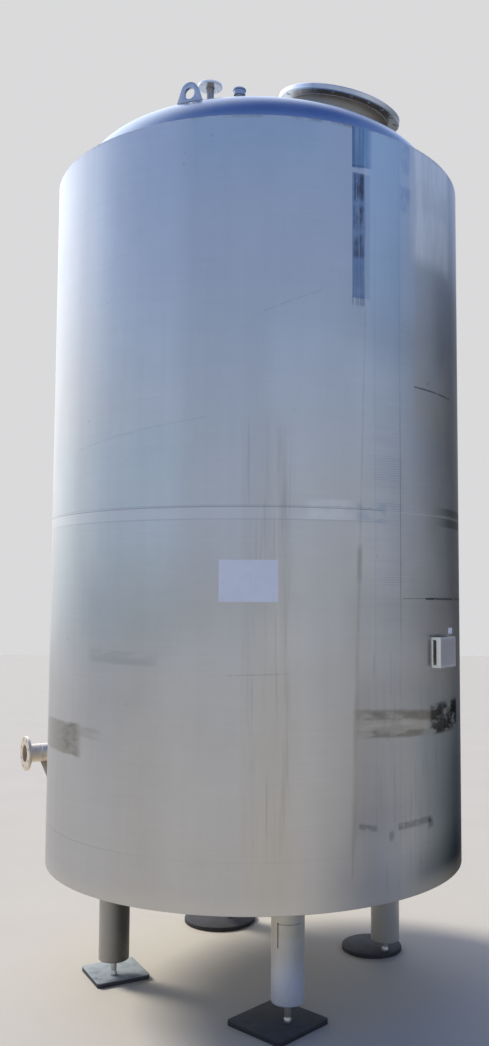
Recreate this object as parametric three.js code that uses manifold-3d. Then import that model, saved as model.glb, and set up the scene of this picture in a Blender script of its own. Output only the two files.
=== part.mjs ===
// Vertical stainless storage tank: an inner vessel with dished ends, a smooth outer
// jacket, four tubular legs with levelling spindles, and nozzles on the roof and side.
// Units are millimetres, +Z is up, and the floor under the pads is z = 0.
// Azimuths are in degrees from -Y (the front), growing towards +X (the right).

import * as THREE from "three";
import { mergeVertices } from "three/addons/utils/BufferGeometryUtils.js";
import Module from "manifold-3d";

const wasm = await Module();
wasm.setup();

// Driving dimensions

const SEAT_GAP = 0.3;              // clearance between neighbouring pieces

const JACKET_RADIUS = 1250;
const JACKET_SHEET = 3;
const JACKET_BOTTOM = 700;
const JACKET_GIRTH_SEAM = 2700;
const JACKET_TOP = 4728;
const JACKET_PLATE = 4;            // thickness of the bottom plate and the shoulder ring
const SHOULDER_RISE = 14;          // the shoulder ring climbs inwards, to shed rain

const VESSEL_RADIUS = 1130;
const VESSEL_WALL = 5;
const ROOF_LIFT = 13;              // from the jacket's rim up to the tangent line of the roof
const ROOF_TANGENT = JACKET_TOP + ROOF_LIFT;
const ROOF_CROWN_RADIUS = 2500;
const ROOF_KNUCKLE_RADIUS = 250;
const ROOF_WELD_RISE = 12;         // the wall meets the roof this far above its tangent line
const ROOF_CROWN_EDGE = 1000;      // radius of the weld between the crown and the knuckle
const BOTTOM_TANGENT = 1030;
const BOTTOM_CROWN_RADIUS = 3500;
const BOTTOM_KNUCKLE_RADIUS = 100;
const HEAD_THICKNESS = 6;

const STAVES = 4;                  // pieces that each round wall is split into
const STAVE_START = -45;
const FACETS_PER_STAVE = 16;
const ROUND_FACETS = FACETS_PER_STAVE * STAVES;

const LEG_CIRCLE_RADIUS = 844;
const LEG_TUBE_RADIUS = 88.9;
const LEG_TUBE_WALL = 5;
const LEG_END_PLATE = 12;
const LEG_END_ROUND = 6;
const SPINDLE_RADIUS = 18;
const SPINDLE_TOP = 190;
const PAD_THICKNESS = 28;
// The end is the height of a leg's closed lower end.
const LEGS = [
  { name: "front", azimuth: 12.2, end: 132, padSide: 385, padTurn: 46, padShift: [-51, 35] },
  { name: "right", azimuth: 102.2, end: 98, padRadius: 190, padShift: [-71, 122] },
  { name: "rear", azimuth: 192.2, end: 132, padRadius: 245, padShift: [-60, 30] },
  { name: "left", azimuth: 282.2, end: 120, padSide: 318, padTurn: 27, padShift: [1, 71] },
];

const MANHOLE = {
  azimuth: 54,
  radius: 610,                     // from the tank's axis to the centre of the flange face
  rise: 487,                       // of that centre above the tangent line of the roof
  tilt: 15,
  neckOuter: 305,
  neckWall: 5,
  neckLength: 205,
  ringOuter: 335,                  // ring let into the roof round the neck
  flangeOuter: 377.5,
  flangeThickness: 36,
  boltCircle: 352.5,
  boltHole: 13,
  bolts: 20,
};

const VENT = {
  azimuth: -21,
  radius: 780,
  rise: 117,                       // of the flange face above the roof
  pipeOuter: 21.2,
  pipeWall: 3.2,
  flangeOuter: 70,
  flangeThickness: 16,
  boltCircle: 50,
  boltHole: 9,
  bolts: 4,
};

const SOCKET = {
  azimuth: -9,
  radius: 720,
  rise: 79,
  outer: 30,
  wall: 4,
  capOuter: 38,
  capHeight: 40,
  capTop: 8,                       // thickness of the cap above the pipe's end
  capChamfer: 3,
};
const PIPE_INSIDE = 15;            // how far a pipe reaches in past the vessel's wall

const LUG = {
  azimuths: [-22.3, 157.7],
  radius: 1000,
  height: 108,                     // above the roof at its mid-plane
  footWidth: 148,
  topRadius: 52,
  flankAngle: 20,                  // where the round top meets the straight flanks
  thickness: 20,
  holeWidth: 60,
  holeHeight: 64,
  holeRise: 45,
  foot: 90,                        // plate below the roof surface, before it is trimmed
};

const SIDE_NOZZLE = {
  azimuth: -106.9,
  height: 1226,
  bend: 45,                        // of the elbow, towards the front
  bendRadius: 152,
  pipeOuter: 57.15,
  pipeWall: 3.6,
  stubEnd: 1344,                   // radius from the tank's axis at which the elbow starts
  straight: 104,                   // from the elbow to the flange face
  flangeOuter: 110,
  flangeThickness: 20,
  boltCircle: 90,
  boltHole: 9,
  bolts: 8,
  gussetThickness: 8,
  gussetDrop: 235,
  gussetReach: 228,
  gussetToe: 110,                  // width of the gusset's lower end
};
const FACE_RECESS = 2;             // a pipe ends this far behind its slip-on flange's face

const BRACKET = {
  azimuth: 54.2,
  width: 195,
  height: 164,
  standoff: 51,
  sheet: 3,
  centre: 1950,
  slotWidth: 20,
  slotHeight: 136,
  slotEdge: 5,                     // from the jacket to the slot
  trim: 10,                        // extra depth of the sides, cut back to the jacket
};
const NAME_PLATE = { width: 172, height: 138, thickness: 1.5 };
const SIGN = { azimuth: -1.8, width: 297, height: 210, centre: 2328, thickness: 1 };

// Sides of the polygon that stands for a full circle
const MANHOLE_SIDES = 40;
const LEG_SIDES = 28;
const ROOF_PIPE_SIDES = 24;
const SIDE_NOZZLE_SIDES = 20;
const SPINDLE_SIDES = 20;
const ROUND_PAD_SIDES = 48;
const LUG_SIDES = 20;
const BOLT_HOLE_SIDES = 10;
const ELBOW_STEPS = 6;             // lengths that the elbow is made of
const SIGN_FACETS = 8;
const DRILL_LENGTH = 600;

// Materials

const steel = (color, roughness) => () =>
  new THREE.MeshStandardMaterial({ color, roughness, metalness: 0.85 });
const MATERIALS = {
  jacket: steel(0xa9adb1, 0.42),
  roof: steel(0x8e97a8, 0.35),
  vessel: steel(0xb4b6b8, 0.5),
  fitting: steel(0xb9b6ae, 0.38),
  leg: steel(0xaaa698, 0.5),
  rubber: () => new THREE.MeshStandardMaterial({ color: 0x2e2b29, roughness: 0.9, metalness: 0 }),
  plate: () => new THREE.MeshStandardMaterial({ color: 0xd8d4c6, roughness: 0.6, metalness: 0.2 }),
  sign: () => new THREE.MeshStandardMaterial({ color: 0xd5dbe6, roughness: 0.7, metalness: 0 }),
};

// Helpers

const tank = new THREE.Group();

function place(name, geometry, material, parent = tank) {
  const mesh = new THREE.Mesh(geometry, MATERIALS[material]());
  mesh.name = name;
  parent.add(mesh);
  return mesh;
}

// Shares vertices, drops collapsed triangles and turns the faces outwards.
function closed(geometry) {
  const bare = geometry.clone();
  bare.deleteAttribute("normal");
  bare.deleteAttribute("uv");
  const merged = mergeVertices(bare, 1e-3);
  const position = merged.getAttribute("position");
  const index = merged.getIndex().array;
  const kept = [];
  const a = new THREE.Vector3();
  const b = new THREE.Vector3();
  const c = new THREE.Vector3();
  let volume = 0;
  for (let i = 0; i < index.length; i += 3) {
    const [p, q, r] = [index[i], index[i + 1], index[i + 2]];
    if (p === q || q === r || r === p) continue;
    kept.push([p, q, r]);
    a.fromBufferAttribute(position, p);
    b.fromBufferAttribute(position, q);
    c.fromBufferAttribute(position, r);
    volume += a.dot(b.cross(c));
  }
  const triangles = volume > 0 ? kept : kept.map(([p, q, r]) => [p, r, q]);
  merged.setIndex(triangles.flat());
  return merged;
}

function toSolid(geometry) {
  const shape = closed(geometry);
  return new wasm.Manifold(
    new wasm.Mesh({
      numProp: 3,
      vertProperties: new Float32Array(shape.getAttribute("position").array),
      triVerts: new Uint32Array(shape.getIndex().array),
    }),
  );
}

function toGeometry(solid) {
  const mesh = solid.getMesh();
  const geometry = new THREE.BufferGeometry();
  const position = new THREE.BufferAttribute(new Float32Array(mesh.vertProperties), 3);
  geometry.setAttribute("position", position);
  geometry.setIndex(new THREE.BufferAttribute(new Uint32Array(mesh.triVerts), 1));
  return geometry;
}

function cut(geometry, cutters) {
  const rest = cutters.reduce((solid, cutter) => solid.subtract(toSolid(cutter)), toSolid(geometry));
  return toGeometry(rest);
}

function common(geometry, bulk) {
  return toGeometry(toSolid(geometry).intersect(toSolid(bulk)));
}

// A point on a circle about the tank's axis.
function around(radius, azimuth, z = 0) {
  const angle = THREE.MathUtils.degToRad(azimuth);
  return new THREE.Vector3(radius * Math.sin(angle), -radius * Math.cos(angle), z);
}

// A group on the tank's axis whose local +X points outwards at the azimuth.
function outwardGroup(azimuth, z = 0) {
  const group = new THREE.Group();
  group.rotation.z = THREE.MathUtils.degToRad(azimuth - 90);
  group.position.z = z;
  group.updateMatrixWorld(true);
  return group;
}

function lathe(outline, facets) {
  const geometry = new THREE.LatheGeometry(
    outline.map(([radius, z]) => new THREE.Vector2(radius, z)),
    facets,
  );
  return closed(geometry.rotateX(Math.PI / 2));
}

function circleHole(x, y, radius) {
  const hole = new THREE.Path();
  hole.absarc(x, y, radius, 0, 2 * Math.PI, true);
  return hole;
}

// Radius of a hole of so many sides that clears a round piece turned any way inside it.
function clearance(radius, sides) {
  return (radius + SEAT_GAP) / Math.cos(Math.PI / sides);
}

function ringShape(outer, inner) {
  const shape = new THREE.Shape();
  shape.absarc(0, 0, outer, 0, 2 * Math.PI, false);
  shape.holes.push(circleHole(0, 0, inner));
  return shape;
}

function extrude(shape, depth, sides = 2) {
  return new THREE.ExtrudeGeometry(shape, { depth, bevelEnabled: false, curveSegments: sides / 2 });
}

function drill(radius, sides) {
  return new THREE.CylinderGeometry(radius, radius, DRILL_LENGTH, sides).rotateX(Math.PI / 2);
}

// A slip-on flange lying in XY, its face at z = 0, with evenly spread bolt holes.
function flange({ flangeOuter, flangeThickness, boltCircle, boltHole, bolts }, pipeOuter, sides) {
  const bore = pipeOuter + SEAT_GAP;
  const disc = extrude(ringShape(flangeOuter, bore), flangeThickness, sides);
  const holes = [];
  for (let i = 0; i < bolts; i += 1) {
    const angle = ((i + 0.5) / bolts) * 2 * Math.PI;
    const hole = drill(boltHole, BOLT_HOLE_SIDES);
    hole.translate(boltCircle * Math.cos(angle), boltCircle * Math.sin(angle), 0);
    holes.push(hole);
  }
  disc.translate(0, 0, -flangeThickness);
  return cut(disc, holes);
}

function pipe(outer, inner, length, sides) {
  return extrude(ringShape(outer, inner), length, sides);
}

// One stave of a round wall, between two azimuths.
function stave(outer, sheet, low, high, start, sweep, facets) {
  const shrink = THREE.MathUtils.radToDeg(SEAT_GAP / 2 / outer);
  const from = THREE.MathUtils.degToRad(start + shrink - 90);
  const to = THREE.MathUtils.degToRad(start + sweep - shrink - 90);
  const shape = new THREE.Shape();
  shape.absarc(0, 0, outer, from, to, false);
  shape.absarc(0, 0, outer - sheet, to, from, true);
  const wall = extrude(shape, high - low, facets);
  wall.translate(0, 0, low);
  return closed(wall);
}

const KNUCKLE_POINTS = 4;
const CROWN_POINTS = 4;
const BULK_DEPTH = 80;             // of a dished end's bulk, past its tangent line

// Half outline of a dished end above its tangent line (z = 0), as [radius, z], from its edge
// at the height start to its top.
function dish(radius, knuckle, crown, start) {
  const centre = radius - knuckle;
  const join = Math.asin(centre / (crown - knuckle));
  const crownCentre = -Math.sqrt((crown - knuckle) ** 2 - centre ** 2);
  const first = Math.asin(start / knuckle);
  const turn = Math.PI / 2 - join - first;
  const points = [];
  for (let i = 0; i <= KNUCKLE_POINTS; i += 1) {
    const angle = first + (i / KNUCKLE_POINTS) * turn;
    points.push([centre + knuckle * Math.cos(angle), knuckle * Math.sin(angle)]);
  }
  for (let i = 1; i <= CROWN_POINTS; i += 1) {
    const angle = join * (1 - i / CROWN_POINTS);
    const reach = i === CROWN_POINTS ? 0 : crown * Math.sin(angle);
    points.push([reach, crownCentre + crown * Math.cos(angle)]);
  }
  return points;
}

function dishedEnd(knuckle, crown, start) {
  const t = HEAD_THICKNESS;
  const outside = dish(VESSEL_RADIUS, knuckle, crown, start);
  const inside = dish(VESSEL_RADIUS - t, knuckle - t, crown - t, start);
  return lathe([...outside, ...inside.reverse(), outside[0]], ROUND_FACETS);
}

// The full bulk under a dished end, a seat gap larger, to trim what stands on it.
function dishedBulk(knuckle, crown, start) {
  const g = SEAT_GAP;
  const outside = dish(VESSEL_RADIUS + g, knuckle + g, crown + g, start);
  return lathe([[0, -BULK_DEPTH], [VESSEL_RADIUS + g, -BULK_DEPTH], ...outside], ROUND_FACETS);
}

// Height of a dished end's outside above its tangent line, at a radius inside its crown.
function crownHeight(radius, knuckle, crown) {
  const centre = VESSEL_RADIUS - knuckle;
  return Math.sqrt(crown ** 2 - radius ** 2) - Math.sqrt((crown - knuckle) ** 2 - centre ** 2);
}

const roofHeight = (radius) =>
  ROOF_TANGENT + crownHeight(radius, ROOF_KNUCKLE_RADIUS, ROOF_CROWN_RADIUS);

// Jacket: two courses of staves, a bottom plate and a shoulder ring

const sideNozzleGroup = outwardGroup(SIDE_NOZZLE.azimuth, SIDE_NOZZLE.height);

function sideNozzleDrill() {
  const hole = drill(SIDE_NOZZLE.pipeOuter + SEAT_GAP, SIDE_NOZZLE_SIDES);
  hole.rotateY(Math.PI / 2);
  hole.translate(VESSEL_RADIUS, 0, 0);
  return hole.applyMatrix4(sideNozzleGroup.matrixWorld);
}

const SIDES = ["front", "right", "rear", "left"];
const sweep = 360 / STAVES;

function roundWall(prefix, radius, sheet, low, high, material, drilled) {
  SIDES.forEach((side, i) => {
    const wall = stave(radius, sheet, low, high, STAVE_START + i * sweep, sweep, FACETS_PER_STAVE);
    const shape = drilled && side === "left" ? cut(wall, [sideNozzleDrill()]) : wall;
    place(`${prefix}_${side}`, shape, material);
  });
}

const seam = JACKET_GIRTH_SEAM;
roundWall("jacket_lower", JACKET_RADIUS, JACKET_SHEET, JACKET_BOTTOM, seam, "jacket", true);
roundWall("jacket_upper", JACKET_RADIUS, JACKET_SHEET, seam, JACKET_TOP, "jacket", false);

const plateRadius = JACKET_RADIUS - JACKET_SHEET - SEAT_GAP;
const bottomPlateRim = new THREE.Path().absarc(0, 0, plateRadius, 0, 2 * Math.PI, false);
const bottomPlateShape = new THREE.Shape(bottomPlateRim.getPoints(ROUND_FACETS / 2));
for (const leg of LEGS) {
  const spot = around(LEG_CIRCLE_RADIUS, leg.azimuth);
  bottomPlateShape.holes.push(circleHole(spot.x, spot.y, LEG_TUBE_RADIUS + SEAT_GAP));
}
const bottomPlate = extrude(bottomPlateShape, JACKET_PLATE, LEG_SIDES);
bottomPlate.translate(0, 0, JACKET_BOTTOM);
place("jacket_bottom_plate", closed(bottomPlate), "jacket");

const shoulderInner = VESSEL_RADIUS + SEAT_GAP;
const shoulderTop = JACKET_TOP - JACKET_PLATE;
place(
  "jacket_shoulder_ring",
  lathe(
    [
      [plateRadius, shoulderTop],
      [plateRadius, shoulderTop + JACKET_PLATE],
      [shoulderInner, shoulderTop + JACKET_PLATE + SHOULDER_RISE],
      [shoulderInner, shoulderTop + SHOULDER_RISE],
      [plateRadius, shoulderTop],
    ],
    ROUND_FACETS,
  ),
  "jacket",
);

// Vessel: staves between two dished ends

const wallHigh = ROOF_TANGENT + ROOF_WELD_RISE;
roundWall("vessel_wall", VESSEL_RADIUS, VESSEL_WALL, BOTTOM_TANGENT, wallHigh, "vessel", true);

const bottomEnd = dishedEnd(BOTTOM_KNUCKLE_RADIUS, BOTTOM_CROWN_RADIUS, 0);
bottomEnd.rotateX(Math.PI);
bottomEnd.translate(0, 0, BOTTOM_TANGENT);
place("vessel_bottom", bottomEnd, "vessel");

// Roof, with its manhole, vent, capped socket and lifting lugs

const manholeGroup = outwardGroup(MANHOLE.azimuth);
const manholeTilt = new THREE.Group();
manholeTilt.position.set(MANHOLE.radius, 0, ROOF_TANGENT + MANHOLE.rise);
manholeTilt.rotation.y = THREE.MathUtils.degToRad(MANHOLE.tilt);
manholeGroup.add(manholeTilt);
manholeGroup.updateMatrixWorld(true);

function manholeDrill(radius) {
  const hole = drill(radius, MANHOLE_SIDES);
  return hole.applyMatrix4(manholeTilt.matrixWorld);
}

function roofDrill({ azimuth, radius }, pipeOuter) {
  const spot = around(radius, azimuth, roofHeight(radius));
  const hole = drill(pipeOuter + SEAT_GAP, ROOF_PIPE_SIDES);
  return hole.translate(spot.x, spot.y, spot.z);
}

// A block over one quarter about the axis, half a gap clear of the quarters beside it.
function quarterBlock(start, height) {
  const side = 2 * JACKET_RADIUS;
  const block = new THREE.BoxGeometry(side, side, side);
  const inset = (side + SEAT_GAP) / 2;
  block.translate(inset, inset, height);
  return block.rotateZ(THREE.MathUtils.degToRad(start - 90));
}

function crownDrill(radius) {
  return drill(radius, ROUND_FACETS).translate(0, 0, ROOF_TANGENT + DRILL_LENGTH / 2);
}

const roof = dishedEnd(ROOF_KNUCKLE_RADIUS, ROOF_CROWN_RADIUS, ROOF_WELD_RISE);
roof.translate(0, 0, ROOF_TANGENT);
const roofKnuckle = cut(roof, [crownDrill(ROOF_CROWN_EDGE + SEAT_GAP / 2)]);
const roofCrown = cut(common(roof, crownDrill(ROOF_CROWN_EDGE - SEAT_GAP / 2)), [
  manholeDrill(MANHOLE.ringOuter + SEAT_GAP),
  roofDrill(VENT, VENT.pipeOuter),
  roofDrill(SOCKET, SOCKET.outer),
]);
SIDES.forEach((side, i) => {
  const block = quarterBlock(STAVE_START + i * sweep, ROOF_TANGENT);
  place(`roof_knuckle_${side}`, common(roofKnuckle, block), "roof");
  place(`roof_crown_${side}`, common(roofCrown, block), "roof");
});
const manholeRing = cut(common(roof, manholeDrill(MANHOLE.ringOuter)), [
  manholeDrill(MANHOLE.neckOuter + SEAT_GAP),
]);
place("roof_manhole_ring", manholeRing, "roof");

const neckInner = MANHOLE.neckOuter - MANHOLE.neckWall;
const neck = pipe(MANHOLE.neckOuter, neckInner, MANHOLE.neckLength, MANHOLE_SIDES);
neck.translate(0, 0, -MANHOLE.neckLength - FACE_RECESS);
place("manhole_neck", closed(neck), "fitting", manholeTilt);
const manholeFlange = flange(MANHOLE, MANHOLE.neckOuter, MANHOLE_SIDES);
["outer_left", "inner_left", "inner_right", "outer_right"].forEach((quarter, i) => {
  const segment = common(manholeFlange, quarterBlock((i + 1) * sweep, 0));
  place(`manhole_flange_${quarter}`, segment, "fitting", manholeTilt);
});
tank.add(manholeGroup);

const ventSpot = around(VENT.radius, VENT.azimuth);
const ventFace = roofHeight(VENT.radius) + VENT.rise;
const ventLow = roofHeight(VENT.radius) - HEAD_THICKNESS - PIPE_INSIDE;
const ventLength = ventFace - FACE_RECESS - ventLow;
const ventInner = VENT.pipeOuter - VENT.pipeWall;
const ventPipe = pipe(VENT.pipeOuter, ventInner, ventLength, ROOF_PIPE_SIDES);
const ventPipeMesh = place("vent_pipe", closed(ventPipe), "fitting");
ventPipeMesh.position.set(ventSpot.x, ventSpot.y, ventLow);
const ventFlange = flange(VENT, VENT.pipeOuter, ROOF_PIPE_SIDES);
const ventFlangeMesh = place("vent_flange", ventFlange, "fitting");
ventFlangeMesh.position.set(ventSpot.x, ventSpot.y, ventFace);

const socketSpot = around(SOCKET.radius, SOCKET.azimuth);
const socketLow = roofHeight(SOCKET.radius) - HEAD_THICKNESS - PIPE_INSIDE;
const socketTop = roofHeight(SOCKET.radius) + SOCKET.rise;
const socketInner = SOCKET.outer - SOCKET.wall;
const socketPipe = pipe(SOCKET.outer, socketInner, socketTop - socketLow, ROOF_PIPE_SIDES);
const socketMesh = place("roof_socket", closed(socketPipe), "fitting");
socketMesh.position.set(socketSpot.x, socketSpot.y, socketLow);
const capInner = SOCKET.outer + SEAT_GAP;
const cap = lathe(
  [
    [0, SEAT_GAP],
    [capInner, SEAT_GAP],
    [capInner, SOCKET.capTop - SOCKET.capHeight],
    [SOCKET.capOuter, SOCKET.capTop - SOCKET.capHeight],
    [SOCKET.capOuter, SOCKET.capTop - SOCKET.capChamfer],
    [SOCKET.capOuter - SOCKET.capChamfer, SOCKET.capTop],
    [0, SOCKET.capTop],
  ],
  ROOF_PIPE_SIDES,
);
const capMesh = place("roof_socket_cap", cap, "fitting");
capMesh.position.set(socketSpot.x, socketSpot.y, socketTop);

// A lug stands across the radius: local X runs along its width, Z is up.
function lugPlate() {
  const half = LUG.footWidth / 2;
  const crownCentre = LUG.height - LUG.topRadius;
  const flank = THREE.MathUtils.degToRad(LUG.flankAngle);
  const flankTop = crownCentre + LUG.topRadius * Math.sin(flank);
  const shape = new THREE.Shape();
  shape.moveTo(-half, -LUG.foot);
  shape.lineTo(half, -LUG.foot);
  shape.lineTo(half, 0);
  shape.lineTo(LUG.topRadius * Math.cos(flank), flankTop);
  shape.absarc(0, crownCentre, LUG.topRadius, flank, Math.PI - flank, false);
  shape.lineTo(-half, 0);
  shape.closePath();
  const r = LUG.holeWidth / 2;
  const straight = LUG.holeHeight / 2 - r;
  const hole = new THREE.Path();
  hole.absarc(0, LUG.holeRise + straight, r, 0, Math.PI, false);
  hole.absarc(0, LUG.holeRise - straight, r, Math.PI, 2 * Math.PI, false);
  shape.holes.push(hole);
  const plate = extrude(shape, LUG.thickness, LUG_SIDES);
  plate.translate(0, 0, -LUG.thickness / 2);
  return plate.rotateX(Math.PI / 2);
}

const roofBulk = dishedBulk(ROOF_KNUCKLE_RADIUS, ROOF_CROWN_RADIUS, ROOF_WELD_RISE);
roofBulk.translate(0, 0, ROOF_TANGENT);

// Height of the roof's outside inside its knuckle, for the lugs' feet.
function knuckleHeight(radius) {
  const reach = radius - (VESSEL_RADIUS - ROOF_KNUCKLE_RADIUS);
  return ROOF_TANGENT + Math.sqrt(ROOF_KNUCKLE_RADIUS ** 2 - reach ** 2);
}

LUG.azimuths.forEach((azimuth, i) => {
  const plate = lugPlate();
  plate.rotateZ(THREE.MathUtils.degToRad(azimuth));
  const spot = around(LUG.radius, azimuth, knuckleHeight(LUG.radius));
  plate.translate(spot.x, spot.y, spot.z);
  place(`lifting_lug_${["front", "rear"][i]}`, cut(plate, [roofBulk]), "fitting");
});

// Side nozzle: a radial stub, an elbow, a short straight end and a slip-on flange

const bendAngle = THREE.MathUtils.degToRad(SIDE_NOZZLE.bend);
const bendTangent = SIDE_NOZZLE.bendRadius * Math.tan(bendAngle / 2);
const stubStart = VESSEL_RADIUS - VESSEL_WALL - PIPE_INSIDE;
const bendStart = new THREE.Vector3(SIDE_NOZZLE.stubEnd, 0, 0);
const bendCorner = new THREE.Vector3(SIDE_NOZZLE.stubEnd + bendTangent, 0, 0);
const endDirection = new THREE.Vector3(Math.cos(bendAngle), Math.sin(bendAngle), 0);
const bendEnd = bendCorner.clone().addScaledVector(endDirection, bendTangent);
const facePoint = bendEnd.clone().addScaledVector(endDirection, SIDE_NOZZLE.straight);

function nozzlePipe(name, length, start, turn) {
  const inner = SIDE_NOZZLE.pipeOuter - SIDE_NOZZLE.pipeWall;
  const tube = pipe(SIDE_NOZZLE.pipeOuter, inner, length, SIDE_NOZZLE_SIDES);
  tube.rotateY(Math.PI / 2);
  const mesh = place(name, closed(tube), "fitting", sideNozzleGroup);
  mesh.position.copy(start);
  mesh.rotation.z = turn;
}

const stubLength = SIDE_NOZZLE.stubEnd - stubStart - SEAT_GAP;
nozzlePipe("side_nozzle_stub", stubLength, new THREE.Vector3(stubStart, 0, 0), 0);
const elbow = new THREE.ExtrudeGeometry(
  ringShape(SIDE_NOZZLE.pipeOuter, SIDE_NOZZLE.pipeOuter - SIDE_NOZZLE.pipeWall),
  {
    steps: ELBOW_STEPS,
    bevelEnabled: false,
    curveSegments: SIDE_NOZZLE_SIDES / 2,
    extrudePath: new THREE.QuadraticBezierCurve3(bendStart, bendCorner, bendEnd),
  },
);
place("side_nozzle_elbow", closed(elbow), "fitting", sideNozzleGroup);
const endStart = bendEnd.clone().addScaledVector(endDirection, SEAT_GAP);
const endLength = SIDE_NOZZLE.straight - FACE_RECESS - SEAT_GAP;
nozzlePipe("side_nozzle_end", endLength, endStart, bendAngle);

const sideFlange = flange(SIDE_NOZZLE, SIDE_NOZZLE.pipeOuter, SIDE_NOZZLE_SIDES);
sideFlange.rotateY(Math.PI / 2);
const sideFlangeMesh = place("side_nozzle_flange", sideFlange, "fitting", sideNozzleGroup);
sideFlangeMesh.position.copy(facePoint);
sideFlangeMesh.rotation.z = bendAngle;

const gussetInner = JACKET_RADIUS + SEAT_GAP;
const gussetTop = -SIDE_NOZZLE.pipeOuter - SEAT_GAP;
const gussetShape = new THREE.Shape([
  new THREE.Vector2(gussetInner, gussetTop),
  new THREE.Vector2(gussetInner, gussetTop - SIDE_NOZZLE.gussetDrop),
  new THREE.Vector2(gussetInner + SIDE_NOZZLE.gussetToe, gussetTop - SIDE_NOZZLE.gussetDrop),
  new THREE.Vector2(gussetInner + SIDE_NOZZLE.gussetReach, gussetTop),
]);
const gusset = extrude(gussetShape, SIDE_NOZZLE.gussetThickness);
gusset.translate(0, 0, -SIDE_NOZZLE.gussetThickness / 2);
gusset.rotateX(Math.PI / 2);
place("side_nozzle_gusset", closed(gusset), "fitting", sideNozzleGroup);
tank.add(sideNozzleGroup);

// Legs with spindles and loose pads

const bottomBulk = dishedBulk(BOTTOM_KNUCKLE_RADIUS, BOTTOM_CROWN_RADIUS, 0);
bottomBulk.rotateX(Math.PI);
bottomBulk.translate(0, 0, BOTTOM_TANGENT);

function legTube(end) {
  const inner = LEG_TUBE_RADIUS - LEG_TUBE_WALL;
  const bore = clearance(SPINDLE_RADIUS, LEG_SIDES);
  return lathe(
    [
      [bore, end],
      [LEG_TUBE_RADIUS - LEG_END_ROUND, end],
      [LEG_TUBE_RADIUS, end + LEG_END_ROUND],
      [LEG_TUBE_RADIUS, BOTTOM_TANGENT],
      [inner, BOTTOM_TANGENT],
      [inner, end + LEG_END_PLATE],
      [bore, end + LEG_END_PLATE],
      [bore, end],
    ],
    LEG_SIDES,
  );
}

// A square rubber mat, or a round one where the leg gives a radius.
function padShape({ padSide, padTurn, padRadius }) {
  if (padRadius) {
    const disc = new THREE.CylinderGeometry(padRadius, padRadius, PAD_THICKNESS, ROUND_PAD_SIDES);
    return closed(disc.rotateX(Math.PI / 2));
  }
  const mat = new THREE.BoxGeometry(padSide, padSide, PAD_THICKNESS);
  return closed(mat.rotateZ(THREE.MathUtils.degToRad(padTurn)));
}

for (const leg of LEGS) {
  const { name, azimuth, end, padShift } = leg;
  const spot = around(LEG_CIRCLE_RADIUS, azimuth);
  const tube = legTube(end).translate(spot.x, spot.y, 0);
  place(`leg_${name}`, cut(tube, [bottomBulk]), "leg");

  const spindleLength = SPINDLE_TOP - PAD_THICKNESS;
  const spindle = new THREE.CylinderGeometry(
    SPINDLE_RADIUS,
    SPINDLE_RADIUS,
    spindleLength,
    SPINDLE_SIDES,
  );
  spindle.rotateX(Math.PI / 2);
  const spindleMesh = place(`spindle_${name}`, closed(spindle), "leg");
  spindleMesh.position.set(spot.x, spot.y, PAD_THICKNESS + spindleLength / 2);

  const padMesh = place(`pad_${name}`, padShape(leg), "rubber");
  padMesh.position.set(spot.x + padShift[0], spot.y + padShift[1], PAD_THICKNESS / 2);
}

// Name plate on its bracket, and the sign on the jacket

const bracketGroup = outwardGroup(BRACKET.azimuth, BRACKET.centre);

function bracketChannel() {
  const half = BRACKET.width / 2;
  const back = JACKET_RADIUS * Math.cos(half / JACKET_RADIUS) - BRACKET.trim;
  const front = JACKET_RADIUS + BRACKET.standoff;
  const s = BRACKET.sheet;
  const shape = new THREE.Shape(
    [
      [back, -half],
      [front, -half],
      [front, half],
      [back, half],
      [back, half - s],
      [front - s, half - s],
      [front - s, s - half],
      [back, s - half],
    ].map(([x, y]) => new THREE.Vector2(x, y)),
  );
  const channel = extrude(shape, BRACKET.height);
  channel.translate(0, 0, -BRACKET.height / 2);
  const slot = new THREE.BoxGeometry(BRACKET.slotWidth, 2 * BRACKET.width, BRACKET.slotHeight);
  slot.translate(back + BRACKET.trim + BRACKET.slotEdge + BRACKET.slotWidth / 2, 0, 0);
  const jacketBulk = lathe(
    [
      [0, JACKET_BOTTOM],
      [JACKET_RADIUS + SEAT_GAP, JACKET_BOTTOM],
      [JACKET_RADIUS + SEAT_GAP, JACKET_TOP],
      [0, JACKET_TOP],
    ],
    ROUND_FACETS,
  );
  jacketBulk.applyMatrix4(bracketGroup.matrixWorld.clone().invert());
  return cut(channel, [slot, jacketBulk]);
}

place("name_plate_bracket", bracketChannel(), "plate", bracketGroup);
const namePlate = new THREE.BoxGeometry(NAME_PLATE.thickness, NAME_PLATE.width, NAME_PLATE.height);
const namePlateMesh = place("name_plate", closed(namePlate), "plate", bracketGroup);
namePlateMesh.position.x = JACKET_RADIUS + BRACKET.standoff + SEAT_GAP + NAME_PLATE.thickness / 2;
tank.add(bracketGroup);

const signSweep = THREE.MathUtils.radToDeg(SIGN.width / JACKET_RADIUS);
const sign = stave(
  JACKET_RADIUS + SEAT_GAP + SIGN.thickness,
  SIGN.thickness,
  SIGN.centre - SIGN.height / 2,
  SIGN.centre + SIGN.height / 2,
  SIGN.azimuth - signSweep / 2,
  signSweep,
  SIGN_FACETS,
);
place("sign_sheet", sign, "sign");

// The origin lies on the floor under the middle of the whole tank's outline

const bounds = new THREE.Box3().setFromObject(tank, true);
const middle = bounds.getCenter(new THREE.Vector3());
tank.position.set(-middle.x, -middle.y, -bounds.min.z);

export default tank;
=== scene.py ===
"""Dresses the vertical storage tank: smooth steel skins, welds, marks, floor, light and camera."""

import math

import bmesh
import bpy
from mathutils import Matrix, Vector


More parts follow.
